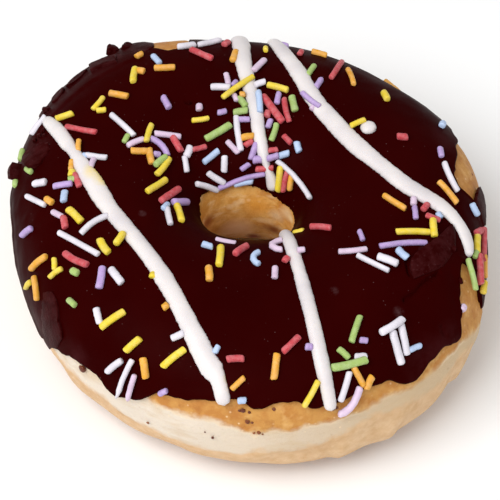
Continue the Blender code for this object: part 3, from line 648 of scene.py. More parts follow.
class Shader:
    """A material's node tree, built up by short calls."""

    def __init__(self, name):
        self.material = bpy.data.materials.new(name)
        self.material.use_nodes = True
        self.tree = self.material.node_tree
        self.surface = self.tree.nodes["Principled BSDF"]
        self.coordinates = self.run("ShaderNodeTexCoord", "Object")

    def run(self, kind, output, inputs=None, **settings):
        """Adds a node, fills its inputs by name or by number, and gives one of its outputs."""
        node = self.tree.nodes.new(kind)
        for key, value in settings.items():
            setattr(node, key, value)
        for key, value in (inputs or {}).items():
            self.put(value, node.inputs[key])
        return node.outputs[output]

    def put(self, value, socket):
        """Sets a socket to a number or a colour, or links an output to it."""
        if isinstance(value, bpy.types.NodeSocket):
            self.tree.links.new(value, socket)
        elif socket.type == "RGBA":
            socket.default_value = (*value, 1.0)
        else:
            socket.default_value = value

    def set(self, **values):
        """Sets the surface's own sockets, named with _ for each space."""
        for key, value in values.items():
            self.put(value, self.surface.inputs[key.replace("_", " ")])

    def noise(self, size, detail=3.0, roughness=0.5, stretch=None):
        """A noise whose lumps are about a size across, in metres."""
        source = self.coordinates
        if stretch:
            source = self.run("ShaderNodeMapping", "Vector", {"Vector": source, "Scale": stretch})
        inputs = {"Vector": source, "Scale": 1.0 / size, "Detail": detail, "Roughness": roughness}
        return self.run("ShaderNodeTexNoise", "Fac", inputs)

    def spots(self, size, edge):
        """Round spots about a size apart: 1 in a spot's middle, 0 outside its edge."""
        inputs = {"Vector": self.coordinates, "Scale": 1.0 / size}
        away = self.run("ShaderNodeTexVoronoi", "Distance", inputs, feature="F1")
        return self.ramp(away, (0.0, 1.0), (edge, 0.0))

    def ramp(self, source, start, end):
        """Maps a value from one range to another, clamped: start and end are (from, to) pairs."""
        inputs = {"Value": source, "From Min": start[0], "From Max": end[0]}
        inputs |= {"To Min": start[1], "To Max": end[1]}
        return self.run("ShaderNodeMapRange", "Result", inputs)

    def math(self, operation, first, second=0.0):
        """The result of a sum on two numbers."""
        return self.run("ShaderNodeMath", "Value", {0: first, 1: second}, operation=operation)

    def both(self, first, second):
        """One share of another."""
        return self.math("MULTIPLY", first, second)

    def vector_math(self, operation, output, first, second=(0.0, 0.0, 0.0)):
        """The result of a sum on two vectors."""
        return self.run("ShaderNodeVectorMath", output, {0: first, 1: second}, operation=operation)

    def mix(self, share, first, second):
        """Mixes two colours."""
        return self.run("ShaderNodeMix", 2, {"Factor": share, 6: first, 7: second}, data_type="RGBA")

    def tint(self, colour, tone, source, start, end, most=1.0):
        """Turns a colour to a tone: not at all where the source is at start, and by most of it at end."""
        return self.mix(self.ramp(source, (start, 0.0), (end, most)), colour, tone)

    def axis(self, name):
        """One of the object coordinates, in metres."""
        return self.run("ShaderNodeSeparateXYZ", name, {"Vector": self.coordinates})

    def attribute(self, name):
        """A number that each point of the mesh holds."""
        return self.run("ShaderNodeAttribute", "Fac", attribute_name=name)

    def near(self, spot, reach, soft):
        """1 at a spot and 0 beyond its reach, fading over the soft share of it."""
        away = self.vector_math("DISTANCE", "Value", self.coordinates, spot)
        return self.ramp(away, (reach * (1.0 - soft), 1.0), (reach, 0.0))

    def from_axis(self):
        """The distance from the hole's axis."""
        moved = self.vector_math("SUBTRACT", "Vector", self.coordinates, CENTRE_SHIFT)
        flat = self.vector_math("MULTIPLY", "Vector", moved, (1.0, 1.0, 0.0))
        return self.vector_math("LENGTH", "Value", flat)

    def bump(self, size, detail, roughness, distance, strength):
        """Fine bumps of a size across."""
        inputs = {"Height": self.noise(size, detail, roughness), "Distance": distance, "Strength": strength}
        self.put(self.run("ShaderNodeBump", "Normal", inputs), self.surface.inputs["Normal"])


def crust_material(settings):
    """Fried dough: golden above, a pale band round the waist, tan below, orange brown inside the hole."""
    shader = Shader("fried_crust")
    mottle = shader.noise(2.6 * MM, 5.0, 0.6)
    cloud = shader.noise(11.0 * MM, 2.0)
    patches = shader.noise(4.0 * MM, 3.0, 0.6)
    grain = shader.noise(0.7 * MM, 3.0, 0.6)
    wrinkles = shader.noise(4.5 * MM, 4.0, 0.55, stretch=(0.6, 0.6, 1.6))
    streaks = shader.noise(3.0 * MM, 4.0, 0.6, stretch=(0.6, 0.6, 1.6))
    ragged = shader.ramp(shader.noise(5.0 * MM, 4.0, 0.6), (0.3, -3.2), (0.7, 3.2))
    over = shader.math("ADD", shader.attribute("over_band"), ragged)
    under = shader.math("ADD", shader.attribute("under_band"), ragged)

    golden = shader.tint(settings.golden, settings.golden_light, mottle, 0.4, 0.6)
    golden = shader.tint(golden, HONEY, patches, 0.52, 0.68, 0.7)
    golden = shader.tint(golden, TOASTED, patches, 0.43, 0.3, 0.7)
    golden = shader.tint(golden, BROWNED, cloud, 0.55, 0.72, 0.6)
    tan = shader.tint(settings.tan, LIGHT_TAN, mottle, 0.3, 0.7)
    pale = shader.tint(settings.pale, settings.pale_dull_and_shade, wrinkles, 0.55, 0.36, 0.55)
    # Painted shade: the pale band turns darker towards +X, the side turned from the key light
    pale = shader.tint(pale, settings.pale_dull_and_shade, shader.axis("X"), -15.0 * MM, 30.0 * MM, 0.9)
    outside = shader.tint(shader.tint(pale, tan, under, -2.0, 2.5), golden, over, -3.0, 3.0)

    # A creamy line runs along the pale band's upper border
    from_border = shader.math("ABSOLUTE", shader.math("ADD", over, 1.5))
    crease = shader.ramp(from_border, (0.2, 0.4), (2.2, 0.0))
    crease = shader.both(crease, shader.ramp(cloud, (0.4, 0.0), (0.55, 1.0)))
    outside = shader.mix(crease, outside, CREAM)
    # The crust turns darker brown towards the very bottom, below 5.5 mm
    outside = shader.tint(LOWEST_BROWN, outside, shader.axis("Z"), 1.2 * MM, 5.5 * MM)

    wall = shader.tint(settings.wall, WALL_LIGHT, mottle, 0.4, 0.6)
    wall = shader.tint(wall, WALL_DARK, patches, 0.46, 0.32, 0.6)
    wall = shader.tint(wall, WALL_STREAK, streaks, 0.54, 0.66, 0.6)
    # Spots of the wall, among them a painted pool of light and painted shade low in the hole
    for turn, rise, reach, tone in WALL_SPOTS_LIGHT_AND_SHADE:
        wall = shader.mix(shader.near(skin(turn, rise), reach * MM, 0.7), wall, tone)
    colour = shader.tint(outside, wall, shader.from_axis(), 18.5 * MM, 13.5 * MM)

    speckled = shader.ramp(shader.noise(7.0 * MM), (0.5, 0.0), (0.56, 0.8))
    specks = shader.both(shader.spots(6.5 * MM, 0.07), speckled)
    colour = shader.mix(specks, colour, SPECK)
    crumbs = shader.both(shader.spots(1.7 * MM, 0.17), shader.ramp(cloud, (0.42, 0.0), (0.6, 0.75)))
    colour = shader.mix(crumbs, colour, SUGAR_CRUMB)
    colour = shader.tint(colour, GRAIN_BROWN, grain, 0.62, 0.8, 0.25)
    shader.set(Base_Color=colour, Roughness=0.62, Specular_IOR_Level=0.2)
    shader.set(Subsurface_Weight=0.06, Subsurface_Radius=(0.002, 0.0012, 0.0006), Subsurface_Scale=1.0)
    shader.bump(1.0 * MM, 6.0, 0.7, 0.3 * MM, 0.7)
    return shader.material


def frosting_material(settings):
    """Dark set chocolate, nearly black-red, with a soft gloss, dust, greyish scuffs and patches of painted
    purplish sheen.
    """
    shader = Shader("dark_frosting")
    colour = shader.tint(settings.deep, settings.light, shader.noise(14.0 * MM, 3.0), 0.35, 0.7)
    dusty = shader.ramp(shader.noise(8.0 * MM), (0.46, 0.0), (0.6, 0.8))
    colour = shader.mix(shader.both(shader.spots(1.5 * MM, 0.09), dusty), colour, DUST)
    sheen_streaks = shader.ramp(shader.noise(4.0 * MM, 5.0, 0.6), (0.38, 0.1), (0.66, 0.75))
    # Painted sheen: purplish patches stand in for light reflected at grazing angles
    for turn, rise, reach in PAINTED_SHEEN_PATCHES:
        painted_sheen = shader.both(shader.near(skin(turn, rise), reach * MM, 0.9), sheen_streaks)
        colour = shader.mix(painted_sheen, colour, SHEEN_PURPLE)
    smudge = shader.ramp(shader.noise(1.6 * MM, 5.0, 0.7), (0.42, 0.0), (0.62, 0.8))
    for x, y, reach in SCUFFS:
        haze = shader.both(shader.near(over_plan(x, y), reach * MM, 0.8), smudge)
        colour = shader.mix(haze, colour, SCUFFED)
    roughness = shader.ramp(shader.noise(5.0 * MM), (0.3, 0.34), (0.7, 0.5))
    shader.set(Base_Color=colour, Roughness=roughness, Specular_IOR_Level=settings.gloss_level)
    shader.bump(0.9 * MM, 4.0, 0.6, 0.05 * MM, 0.6)
    return shader.material


def break_material():
    """The frosting's broken plates and flakes: paler, with purplish patches of painted sheen on their
    faces.
    """
    shader = Shader("frosting_break")
    # Painted sheen: paler purplish patches on the plates and flakes
    colour = shader.tint(BREAK_DEEP, BREAK_SHEEN, shader.noise(2.4 * MM, 5.0, 0.65), 0.42, 0.6)
    colour = shader.tint(colour, BREAK_GRAIN, shader.noise(0.6 * MM, 3.0, 0.6), 0.62, 0.74, 0.4)
    shader.set(Base_Color=colour, Roughness=0.4, Specular_IOR_Level=0.018)
    shader.bump(0.8 * MM, 5.0, 0.65, 0.12 * MM, 0.8)
    return shader.material


def crumb_material():
    """Drops and crumbs of the frosting, redder where they are thin."""
    shader = Shader("frosting_crumb")
    colour = shader.tint(CRUMB_DARK, CRUMB_THIN, shader.noise(4.0 * MM, 3.0), 0.47, 0.68)
    shader.set(Base_Color=colour, Roughness=0.3, Specular_IOR_Level=0.3)
    shader.bump(0.3 * MM, 3.0, 0.6, 0.04 * MM, 0.5)
    return shader.material


def drizzle_material(settings):
    """White icing with a low gloss, yellow where a sprinkle has bled into it."""
    shader = Shader("white_drizzle")
    colour = shader.tint(settings.white, settings.shade, shader.noise(6.0 * MM, 2.0), 0.4, 0.7)
    patchy = shader.ramp(shader.noise(1.2 * MM, 3.0), (0.25, 0.4), (0.55, 1.0))
    for x, y, reach in STAINS:
        stain = shader.both(shader.near(over_plan(x, y), reach * MM, 0.75), patchy)
        colour = shader.mix(stain, colour, STAIN_YELLOW)
    shader.set(Base_Color=colour, Roughness=0.42, Specular_IOR_Level=0.3)
    shader.set(Subsurface_Weight=0.12, Subsurface_Radius=(0.0012, 0.001, 0.0008), Subsurface_Scale=1.0)
    shader.bump(0.7 * MM, 4.0, 0.6, 0.06 * MM, 0.6)
    return shader.material


def sprinkle_material(name, colour):
    """Pressed sugar in one colour, paler on its worn spots."""
    shader = Shader("sugar_" + name)
    pale = tuple(min(0.92, channel * 0.55 + 0.42) for channel in colour)
    deep = tuple(channel * 0.86 for channel in colour)
    varied = shader.tint(deep, colour, shader.noise(3.5 * MM, 1.0), 0.35, 0.65)
    worn = shader.tint(varied, pale, shader.noise(0.9 * MM, 4.0, 0.6), 0.4, 0.75, 0.275)
    shader.set(Base_Color=worn, Roughness=0.5, Specular_IOR_Level=0.3)
    shader.set(Subsurface_Weight=0.1, Subsurface_Radius=(0.0008, 0.0008, 0.0008), Subsurface_Scale=1.0)
    shader.bump(0.35 * MM, 3.0, 0.6, 0.05 * MM, 0.6)
    return shader.material


def count_property(name, description, default):
    """A setting that counts points or faces."""
    return bpy.props.IntProperty(name=name, description=description, default=default)


def number_property(name, description, default, **options):
    """A plain number as a setting."""
    return bpy.props.FloatProperty(name=name, description=description, default=default, **options)


def length_property(name, description, default):
    """A length setting in metres."""
    return number_property(name, description, default, unit="LENGTH", precision=5)


def colour_property(name, description, default):
    """A linear colour setting."""
    return bpy.props.FloatVectorProperty(
        name=name, description=description, default=default, size=3, subtype="COLOR", min=0.0, max=1.0
    )


class DoughSettings(bpy.types.PropertyGroup):
    """Sizes and colours of the fried ring."""

    columns: count_property("Columns", "Points round the hole", 420)
    rows: count_property("Rows", "Points round the section", 140)
    dimple_depth: length_property("Dimple depth", "How deep the crust's soft dimples are", 0.16 * MM)
    band_depth: length_property("Band depth", "How far the pale band lies in", 0.2 * MM)
    lump_depth: length_property("Lump depth", "How lumpy the lower crust is", 0.7 * MM)
    golden: colour_property("Golden", "Crust near the frosting", (0.49, 0.205, 0.045))
    golden_light: colour_property("Light golden", "Paler spots of the crust", (0.57, 0.28, 0.07))
    pale: colour_property("Pale band", "The band that the fat didn't reach", (0.73, 0.635, 0.525))
    # Pale dull and shade: the pale band's duller patches, and its painted shade on the +X side
    pale_dull_and_shade: colour_property("Shaded pale", "The pale band's duller patches", (0.6, 0.43, 0.25))
    tan: colour_property("Tan", "The lower crust", (0.61, 0.37, 0.18))
    wall: colour_property("Hole wall", "The crust inside the hole", (0.68, 0.31, 0.06))


class FrostingSettings(bpy.types.PropertyGroup):
    """Sizes and colours of the frosting."""

    columns: count_property("Columns", "Points round the hole", 640)
    top_rows: count_property("Top rows", "Points over the top", 124)
    under_rows: count_property("Under rows", "Points along the underside", 18)
    top_offset: length_property("Top offset", "How far the top stands out of the skin", 0.3 * MM)
    lip_bead: length_property("Lip bead", "How much thicker the frosting is along its edges", 0.2 * MM)
    lip_radius: length_property("Lip radius", "How round the frosting's edges are", 0.9 * MM)
    ripple_depth: length_property("Ripple depth", "Faint ripple of the top", 0.05 * MM)
    crumple_depth: length_property("Crumple depth", "Relief where the frosting has broken", 0.3 * MM)
    deep: colour_property("Deep", "The frosting's darker colour", (0.0215, 0.0001, 0.0001))
    light: colour_property("Light", "The frosting's lighter colour", (0.026, 0.0004, 0.0003))
    gloss_level: number_property("Gloss", "Specular level", 0.008, subtype="FACTOR")


class DrizzleSettings(bpy.types.PropertyGroup):
    """Sizes and colour of the white drizzle."""

    height: length_property("Height", "How far a strand stands out of the frosting", 1.15 * MM)
    sunk: length_property("Sunk", "How deep a strand lies in the frosting", 0.35 * MM)
    step: length_property("Step", "Distance between rings along a strand", 0.35 * MM)
    sides: count_property("Sides", "Points round a strand", 22)
    white: colour_property("White", "The icing's colour", (0.74, 0.69, 0.68))
    shade: colour_property("Shade", "The icing where it is duller", (0.645, 0.6, 0.61))


class SprinkleSettings(bpy.types.PropertyGroup):
    """Sizes of the sprinkles."""

    radius: length_property("Radius", "Half a sprinkle's thickness", 0.66 * MM)
    sunk: length_property("Sunk", "How deep a sprinkle lies in the frosting", 0.3 * MM)
    sides: count_property("Sides", "Faces round a sprinkle", 10)
    uneven: number_property("Uneven", "Change of thickness between sprinkles", 0.16)


class StageSettings(bpy.types.PropertyGroup):
    """The camera and the floor."""

    elevation: number_property("Elevation", "Camera above the horizon", SIGHT_RISE, subtype="ANGLE")
    distance: length_property("Distance", "Camera to the ring's centre", 480 * MM)
    pixels_per_mm: number_property("Scale", "Pixels for a millimetre at the centre", 5.0)
    aim_right_px: number_property("Aim right", "Ring's centre right of the middle, in pixels", -1.5)
    aim_up_px: number_property("Aim up", "Ring's centre above the middle, in pixels", 10.4)
    floor_colour: colour_property("Floor", "The floor's colour", (0.9, 0.9, 0.9))


class DOUGHNUT_OT_dough(bpy.types.Operator):
    """Add the fried ring"""

    bl_idname = "doughnut.dough"
    bl_label = "Dough ring"

    def execute(self, context):
        settings = context.scene.doughnut_dough
        turns = [360.0 * column / settings.columns for column in range(settings.columns)]
        bands = [pale_band(turn) for turn in turns]

        def place(column, row):
            column, row = column % settings.columns, row % settings.rows
            turn, rise = turns[column], 360.0 * row / settings.rows
            rise = rise if rise < 270.0 else rise - 360.0
            start = skin(turn, rise)
            relief = settings.dimple_depth * noise.noise(start / DIMPLE_SIZE)
            relief += PORE_DEPTH * noise.noise(start / PORE_SIZE)
            upper, lower = bands[column]
            if -60.0 < rise < 50.0:
                inside = smooth_step((upper - rise) / 3.0) * smooth_step((rise - lower) / 5.0)
                wrinkle = noise.noise(Vector((start.x / 9.0, start.y / 9.0, start.z / 1.5)) / MM)
                relief += inside * (WRINKLE_DEPTH * wrinkle - settings.band_depth)
                below = smooth_step((lower - rise) / 6.0) * smooth_step((rise + 60.0) / 20.0)
                lump = noise.noise(start / DIMPLE_SIZE + Vector((4.0, 1.0, 2.0)))
                relief += settings.lump_depth * lump * below
            return skin(turn, rise, dough_offset(turn, rise % 360.0) + relief)

        piece = shape_grid("dough_ring", settings.columns, settings.rows, place)
        over = piece.data.attributes.new("over_band", "FLOAT", "POINT")
        under = piece.data.attributes.new("under_band", "FLOAT", "POINT")
        for index, vertex in enumerate(piece.data.vertices):
            turn, rise = around(vertex.co)
            upper, lower = pale_band(turn)
            over.data[index].value = rise - upper
            under.data[index].value = lower - rise
        piece.data.materials.append(crust_material(settings))
        finish_piece(piece, "dough")
        return {"FINISHED"}


def top_shares(rows):
    """Where the rows of the frosting's top lie, from its outer edge at 0 to its inner one at 1."""
    shares = [LIP_SHARE * (row / LIP_ROWS) ** 1.5 for row in range(LIP_ROWS)]
    middle_rows = rows - 2 * LIP_ROWS
    shares += [LIP_SHARE + (1.0 - 2.0 * LIP_SHARE) * row / (middle_rows - 1) for row in range(middle_rows)]
    return shares + [1.0 - share for share in reversed(shares[:LIP_ROWS])]


def ragged(turn):
    """How far the frosting's edge strays from its table, in degrees."""
    angle = math.radians(turn)
    spot = Vector((math.cos(angle), math.sin(angle), 0.0))
    return 1.6 * noise.noise(spot * 14.0) + 0.8 * noise.noise(spot * 40.0)


class DOUGHNUT_OT_frosting(bpy.types.Operator):
    """Add the dark frosting"""

    bl_idname = "doughnut.frosting"
    bl_label = "Frosting"

    def execute(self, context):
        settings = context.scene.doughnut_frosting
        turns = edge_columns(settings.columns)
        shares = top_shares(settings.top_rows)
        under_shares = [1.0 - row / (settings.under_rows - 1) for row in range(settings.under_rows)]
        lows = [outer_edge(turn) + ragged(turn) for turn in turns]
        edges = list(zip(lows, [inner_edge(turn) + ragged(turn + 500.0) for turn in turns]))
        spans = []
        for turn, (low, high) in zip(turns, edges):
            stops = [skin(turn, low + (high - low) * step / 16.0) for step in range(17)]
            spans.append(sum((stops[step + 1] - stops[step]).length for step in range(16)))
        all_rows = settings.top_rows + settings.under_rows

        def place(column, row):
            column, row = column % settings.columns, row % all_rows
            turn = turns[column]
            low, high = edges[column]
            if row >= settings.top_rows:
                rise = low + (high - low) * under_shares[row - settings.top_rows]
                return skin(turn - hook(turn, rise), rise, UNDER_OFFSET)
            share = shares[row]
            rise = low + (high - low) * share
            real_turn = turn - hook(turn, rise)
            offset = frosting_offset(turn, rise, settings.top_offset, settings.lip_bead)
            offset += fine_relief(real_turn, rise, skin(real_turn, rise), settings)
            from_edge = min(share, 1.0 - share) * spans[column]
            round_off = min(1.0, from_edge / settings.lip_radius)
            lip = math.sqrt(max(0.0, 1.0 - (1.0 - round_off) ** 2))
            return skin(real_turn, rise, UNDER_OFFSET + (offset - UNDER_OFFSET) * lip)

        piece = shape_grid("frosting_cap", settings.columns, all_rows, place)
        piece.data.materials.append(frosting_material(settings))
        finish_piece(piece, "frosting")
        return {"FINISHED"}


def model_chip(cuts):
    """One plain slab by hand, two units wide, with bevelled rims and cuts over its sides."""
    begin()
    bpy.ops.mesh.primitive_cube_add(size=2.0)
    slab = bpy.context.object
    bpy.ops.object.mode_set(mode="EDIT")
    bpy.ops.mesh.select_all(action="SELECT")
    bpy.ops.mesh.bevel(offset=0.2, segments=2, profile=0.6)
    bpy.ops.mesh.select_all(action="SELECT")
    bpy.ops.mesh.subdivide(number_cuts=cuts)
    bpy.ops.object.mode_set(mode="OBJECT")
    return slab


def edge_of(corners):
    """A function from an angle to a closed outline round the origin: distance, side, share of it."""
    count = len(corners)

    def at(angle):
        way = Vector((math.cos(angle), math.sin(angle)))
        for index in range(count):
            start, side = corners[index], corners[(index + 1) % count] - corners[index]
            across = way.x * side.y - way.y * side.x
            if abs(across) < 1e-12:
                continue
            reach = (start.x * side.y - start.y * side.x) / across
            share = (start.x * way.y - start.y * way.x) / across
            if reach > 0.0 and -1e-9 <= share <= 1.0 + 1e-9:
                return reach, index, share
        return corners[0].length, 0, 0.0

    return at


def any_shift(draw):
    """A random place in the noise."""
    return Vector((draw.uniform(0, 90), draw.uniform(0, 90), draw.uniform(0, 90)))


def broken_outline(draw):
    """A chip's broken edge, with a few straight sides."""
    corners = []
    count = draw.choice((5, 6, 7))
    for index in range(count):
        angle = math.tau * (index + draw.uniform(-0.28, 0.28)) / count
        reach = draw.uniform(0.85, 1.15)
        corners.append(Vector((reach * math.cos(angle), reach * math.sin(angle))))
    return edge_of(corners)


def on_top(turn, rise, lift, frosting):
    """An offset that is a lift above the frosting's top, in millimetres."""
    return frosting_offset(turn, rise, frosting.top_offset, frosting.lip_bead) + lift * MM


def laid_plate(master, row, frosting):
    """The slab's points, cut to a plate's corners and laid along the frosting's curve."""
    thick, corners = row
    turn = sum(corner[0] for corner in corners) / len(corners)
    rise = sum(corner[1] for corner in corners) / len(corners)
    lifts = [corner[2] for corner in corners]
    middle = sum(lifts) / len(lifts)
    per_turn = (skin(turn + 0.5, rise) - skin(turn - 0.5, rise)).length / MM
    per_rise = (skin(turn, rise + 0.5) - skin(turn, rise - 0.5)).length / MM
    flat = [((corner[0] - turn) * per_turn, (corner[1] - rise) * per_rise) for corner in corners]
    edge = edge_of([Vector(corner) for corner in flat])
    points = []
    for co in master:
        reach = max(abs(co.x), abs(co.y))
        angle = math.atan2(co.y, co.x)
        limit, side, share = edge(angle)
        rim = lifts[side] + (lifts[(side + 1) % len(lifts)] - lifts[side]) * share
        right, ahead = math.cos(angle), math.sin(angle)
        limit *= reach * (1.0 + 0.05 * noise.noise(Vector((right, ahead, turn)) * 3.0))
        here = turn + limit * right / per_turn, rise + limit * ahead / per_rise
        height = middle + (rim - middle) * reach - thick * (1.0 - co.z) / 2.0
        height += 0.1 * noise.noise(skin(*here) / (1.5 * MM))
        points.append(skin(*here, on_top(*here, height, frosting)))
    return points


def laid_chip(master, row, draw, frosting):
    """The slab's points, broken to an outline of its own and laid on the frosting."""
    turn, rise, across, along, thick, heading, tilt, lift = row
    place, normal, way_round, way_up = skin_frame(turn, rise, on_top(turn, rise, lift, frosting))
    angle, lean = math.radians(heading), math.radians(tilt)
    right = way_round * math.cos(angle) + way_up * math.sin(angle)
    ahead = way_up * math.cos(angle) - way_round * math.sin(angle)
    flat, upright = ahead, normal
    ahead = flat * math.cos(lean) - upright * math.sin(lean)
    normal = upright * math.cos(lean) + flat * math.sin(lean)
    edge = broken_outline(draw)
    shift = any_shift(draw)
    points = []
    for co in master:
        reach = max(abs(co.x), abs(co.y))
        turned = math.atan2(co.y, co.x)
        limit = edge(turned)[0] * (1.0 + 0.06 * noise.noise(co * 2.2 + shift))
        x, y = reach * limit * math.cos(turned), reach * limit * math.sin(turned)
        z = co.z * (1.0 + 0.25 * noise.noise(co * 0.9 + shift))
        z += 0.3 * noise.noise(Vector((x, y, 0.0)) * 1.5 + shift)
        out = right * (x * across) + ahead * (y * along) + normal * (z * thick)
        points.append(place + out * (MM / 2.0))
    return points


def laid_crumb(master, row, draw):
    """The crumb's points, made uneven and laid on the dough."""
    turn, rise, size = row
    offset = dough_offset(turn, rise % 360.0) + 0.15 * size * MM
    place, normal, way_round, way_up = skin_frame(turn, rise, offset)
    shift = any_shift(draw)
    points = []
    for co in master:
        lumpy = co * (1.0 + 0.3 * noise.noise(co * 1.1 + shift))
        out = way_round * lumpy.x + way_up * lumpy.y + normal * lumpy.z * 0.6
        points.append(place + out * (size * MM / 2.0))
    return points


def take_apart(master):
    """A master's points and its faces' corners. The master itself is then deleted."""
    points = [vertex.co.copy() for vertex in master.data.vertices]
    loops = [tuple(face.vertices) for face in master.data.polygons]
    bpy.data.objects.remove(master, do_unlink=True)
    return points, loops


def add_copies(context, name, loops, copies):
    """One piece out of many copies of a master's faces, each with points of its own."""
    points, faces = [], []
    for copy in copies:
        first = len(points)
        points.extend(copy)
        faces.extend(tuple(first + index for index in loop) for loop in loops)
    mesh = bpy.data.meshes.new(name)
    mesh.from_pydata(points, [], faces)
    piece = bpy.data.objects.new(name, mesh)
    context.scene.collection.objects.link(piece)
    begin()
    piece.select_set(True)
    context.view_layer.objects.active = piece
    return piece


class DOUGHNUT_OT_flakes(bpy.types.Operator):
    """Add the broken flakes of frosting, and its crumbs on the dough"""

    bl_idname = "doughnut.flakes"
    bl_label = "Flakes and crumbs"

    def execute(self, context):
        frosting = context.scene.doughnut_frosting
        draw = random.Random(FLAKE_SEED)
        broken = break_material()
        for name, cuts in (("frosting_flakes", 2), ("frosting_plates", 7)):
            master, loops = take_apart(model_chip(cuts))
            if name == "frosting_flakes":
                copies = [laid_chip(master, row, draw, frosting) for row in FLAKES]
            else:
                copies = [laid_plate(master, row, frosting) for row in PLATES]
            piece = add_copies(context, name, loops, copies)
            bpy.ops.object.shade_smooth_by_angle(angle=math.radians(35.0))
            piece.data.materials.append(broken)
            finish_piece(piece, "frosting")

        begin()
        bpy.ops.mesh.primitive_ico_sphere_add(subdivisions=3, radius=1.0)
        master, loops = take_apart(context.object)
        copies = [laid_crumb(master, row, draw) for row in CRUMBS]
        piece = add_copies(context, "frosting_crumbs", loops, copies)
        bpy.ops.object.shade_smooth()
        piece.data.materials.append(crumb_material())
        finish_piece(piece, "frosting")
        return {"FINISHED"}


def add_strand(name, route, settings, frosting):
    """One strand of drizzle, with a lumpy width and rounded ends."""
    plan = smooth_route([Vector(point) * MM for point in route], settings.step)
    last = len(plan) - 1
    grounds = [on_frosting(point.x, point.y, 0.0, frosting) for point in plan]
    lengths = [0.0]
    for index in range(last):
        lengths.append(lengths[-1] + (grounds[index + 1][0] - grounds[index][0]).length)

    def place(index, side):
        spot, normal = grounds[index]
        half = plan[index].z / 2.0
        ahead = (grounds[min(last, index + 1)][0] - grounds[max(0, index - 1)][0]).normalized()
        sideways = ahead.cross(normal).normalized()
        up = sideways.cross(ahead).normalized()
        lump = 1.0 + 0.1 * noise.noise(spot / (5.0 * MM)) + 0.04 * noise.noise(spot / (1.8 * MM))
        from_end = min(lengths[index], lengths[-1] - lengths[index]) / (half * 1.1)
        close = math.sqrt(max(0.0, 1.0 - (1.0 - min(1.0, from_end)) ** 2))
        angle = math.tau * (side % settings.sides) / settings.sides
        edge = 1.0 + 0.07 * noise.noise(spot / (0.45 * MM) + Vector((math.cos(angle) * 1.2, 0.0, 5.0)))
        rise = math.sin(angle) * (settings.height if math.sin(angle) > 0.0 else settings.sunk)
        across = math.cos(angle) * half * lump * edge
        return spot + (sideways * across + up * rise * (0.9 + 0.1 * lump)) * close

    return shape_grid("strand_" + name, last, settings.sides, place)


class DOUGHNUT_OT_drizzle(bpy.types.Operator):
    """Add the white drizzle"""

    bl_idname = "doughnut.drizzle"
    bl_label = "Drizzle"

    def execute(self, context):
        settings = context.scene.doughnut_drizzle
        frosting = context.scene.doughnut_frosting
        strands = [add_strand(name, route, settings, frosting) for name, route in STRANDS.items()]
        piece = join_pieces("drizzle_strands", strands)
        piece.data.materials.clear()
        piece.data.materials.append(drizzle_material(settings))
        finish_piece(piece, "frosting")
        return {"FINISHED"}


def select_edges(piece, wanted):
    """Goes into edit mode with only those edges selected whose two ends pass the test."""
    bpy.ops.object.mode_set(mode="EDIT")
    bpy.ops.mesh.select_mode(type="EDGE")
    bpy.ops.mesh.select_all(action="DESELECT")
    bpy.ops.object.mode_set(mode="OBJECT")
    for edge in piece.data.edges:
        start, end = (piece.data.vertices[index].co for index in edge.vertices)
        edge.select = wanted(start, end)
    bpy.ops.object.mode_set(mode="EDIT")


def model_sprinkle(sides):
    """One plain sprinkle by hand: a rod along X with bevelled ends and cuts along its length."""
    begin()
    bpy.ops.mesh.primitive_cylinder_add(
        vertices=sides, radius=1.0, depth=2.0 * ROD_HALF, rotation=(0.0, math.pi / 2.0, 0.0)
    )
    bpy.ops.object.transform_apply(location=False, rotation=True, scale=True)
    rod = bpy.context.object
    select_edges(rod, lambda start, end: abs(start.x - end.x) > 1.0)
    bpy.ops.mesh.subdivide(number_cuts=4)
    rim = ROD_HALF - 1e-4
    select_edges(rod, lambda start, end: min(start.x, end.x) > rim or max(start.x, end.x) < -rim)
    bpy.ops.mesh.bevel(offset=0.42, segments=2, profile=0.5)
    bpy.ops.object.mode_set(mode="OBJECT")
    return rod


def top_route(x, y, heading, length, bend, lift, settings, frosting):
    """A function from 0 to 1 to the places and normals along a sprinkle that lies on the top."""
    way = Vector((math.cos(math.radians(heading)), math.sin(math.radians(heading))))
    left = Vector((-way.y, way.x))
    curve = math.radians(bend)

    def at(share):
        along, aside = length * (share - 0.5), 0.0
        if abs(curve) > 0.01:
            radius = length / curve
            along = radius * math.sin(curve * (share - 0.5))
            aside = radius * (math.cos(curve / 4.0) ** 2 - math.cos(curve * (share - 0.5)))
        point = Vector((x, y)) + way * along + left * aside
        above = settings.radius - settings.sunk + lift * MM
        return on_frosting(point.x * MM, point.y * MM, above, frosting)

    return at


def side_route(turn, rise, heading, length, settings, frosting):
    """The same for a straight sprinkle on the ring's outside."""
    lift = on_top(turn, rise, 0.0, frosting) + settings.radius - settings.sunk
    across = length * MM * math.cos(math.radians(heading))
    upwards = length * MM * math.sin(math.radians(heading))
    turn_span = math.degrees(across / (skin(turn, rise) - CENTRE_SHIFT).to_2d().length)
    rise_span = upwards / (skin(turn, rise + 0.5) - skin(turn, rise - 0.5)).length

    def at(share):
        from_middle = share - 0.5
        return skin_frame(turn + turn_span * from_middle, rise + rise_span * from_middle, lift)[:2]

    return at


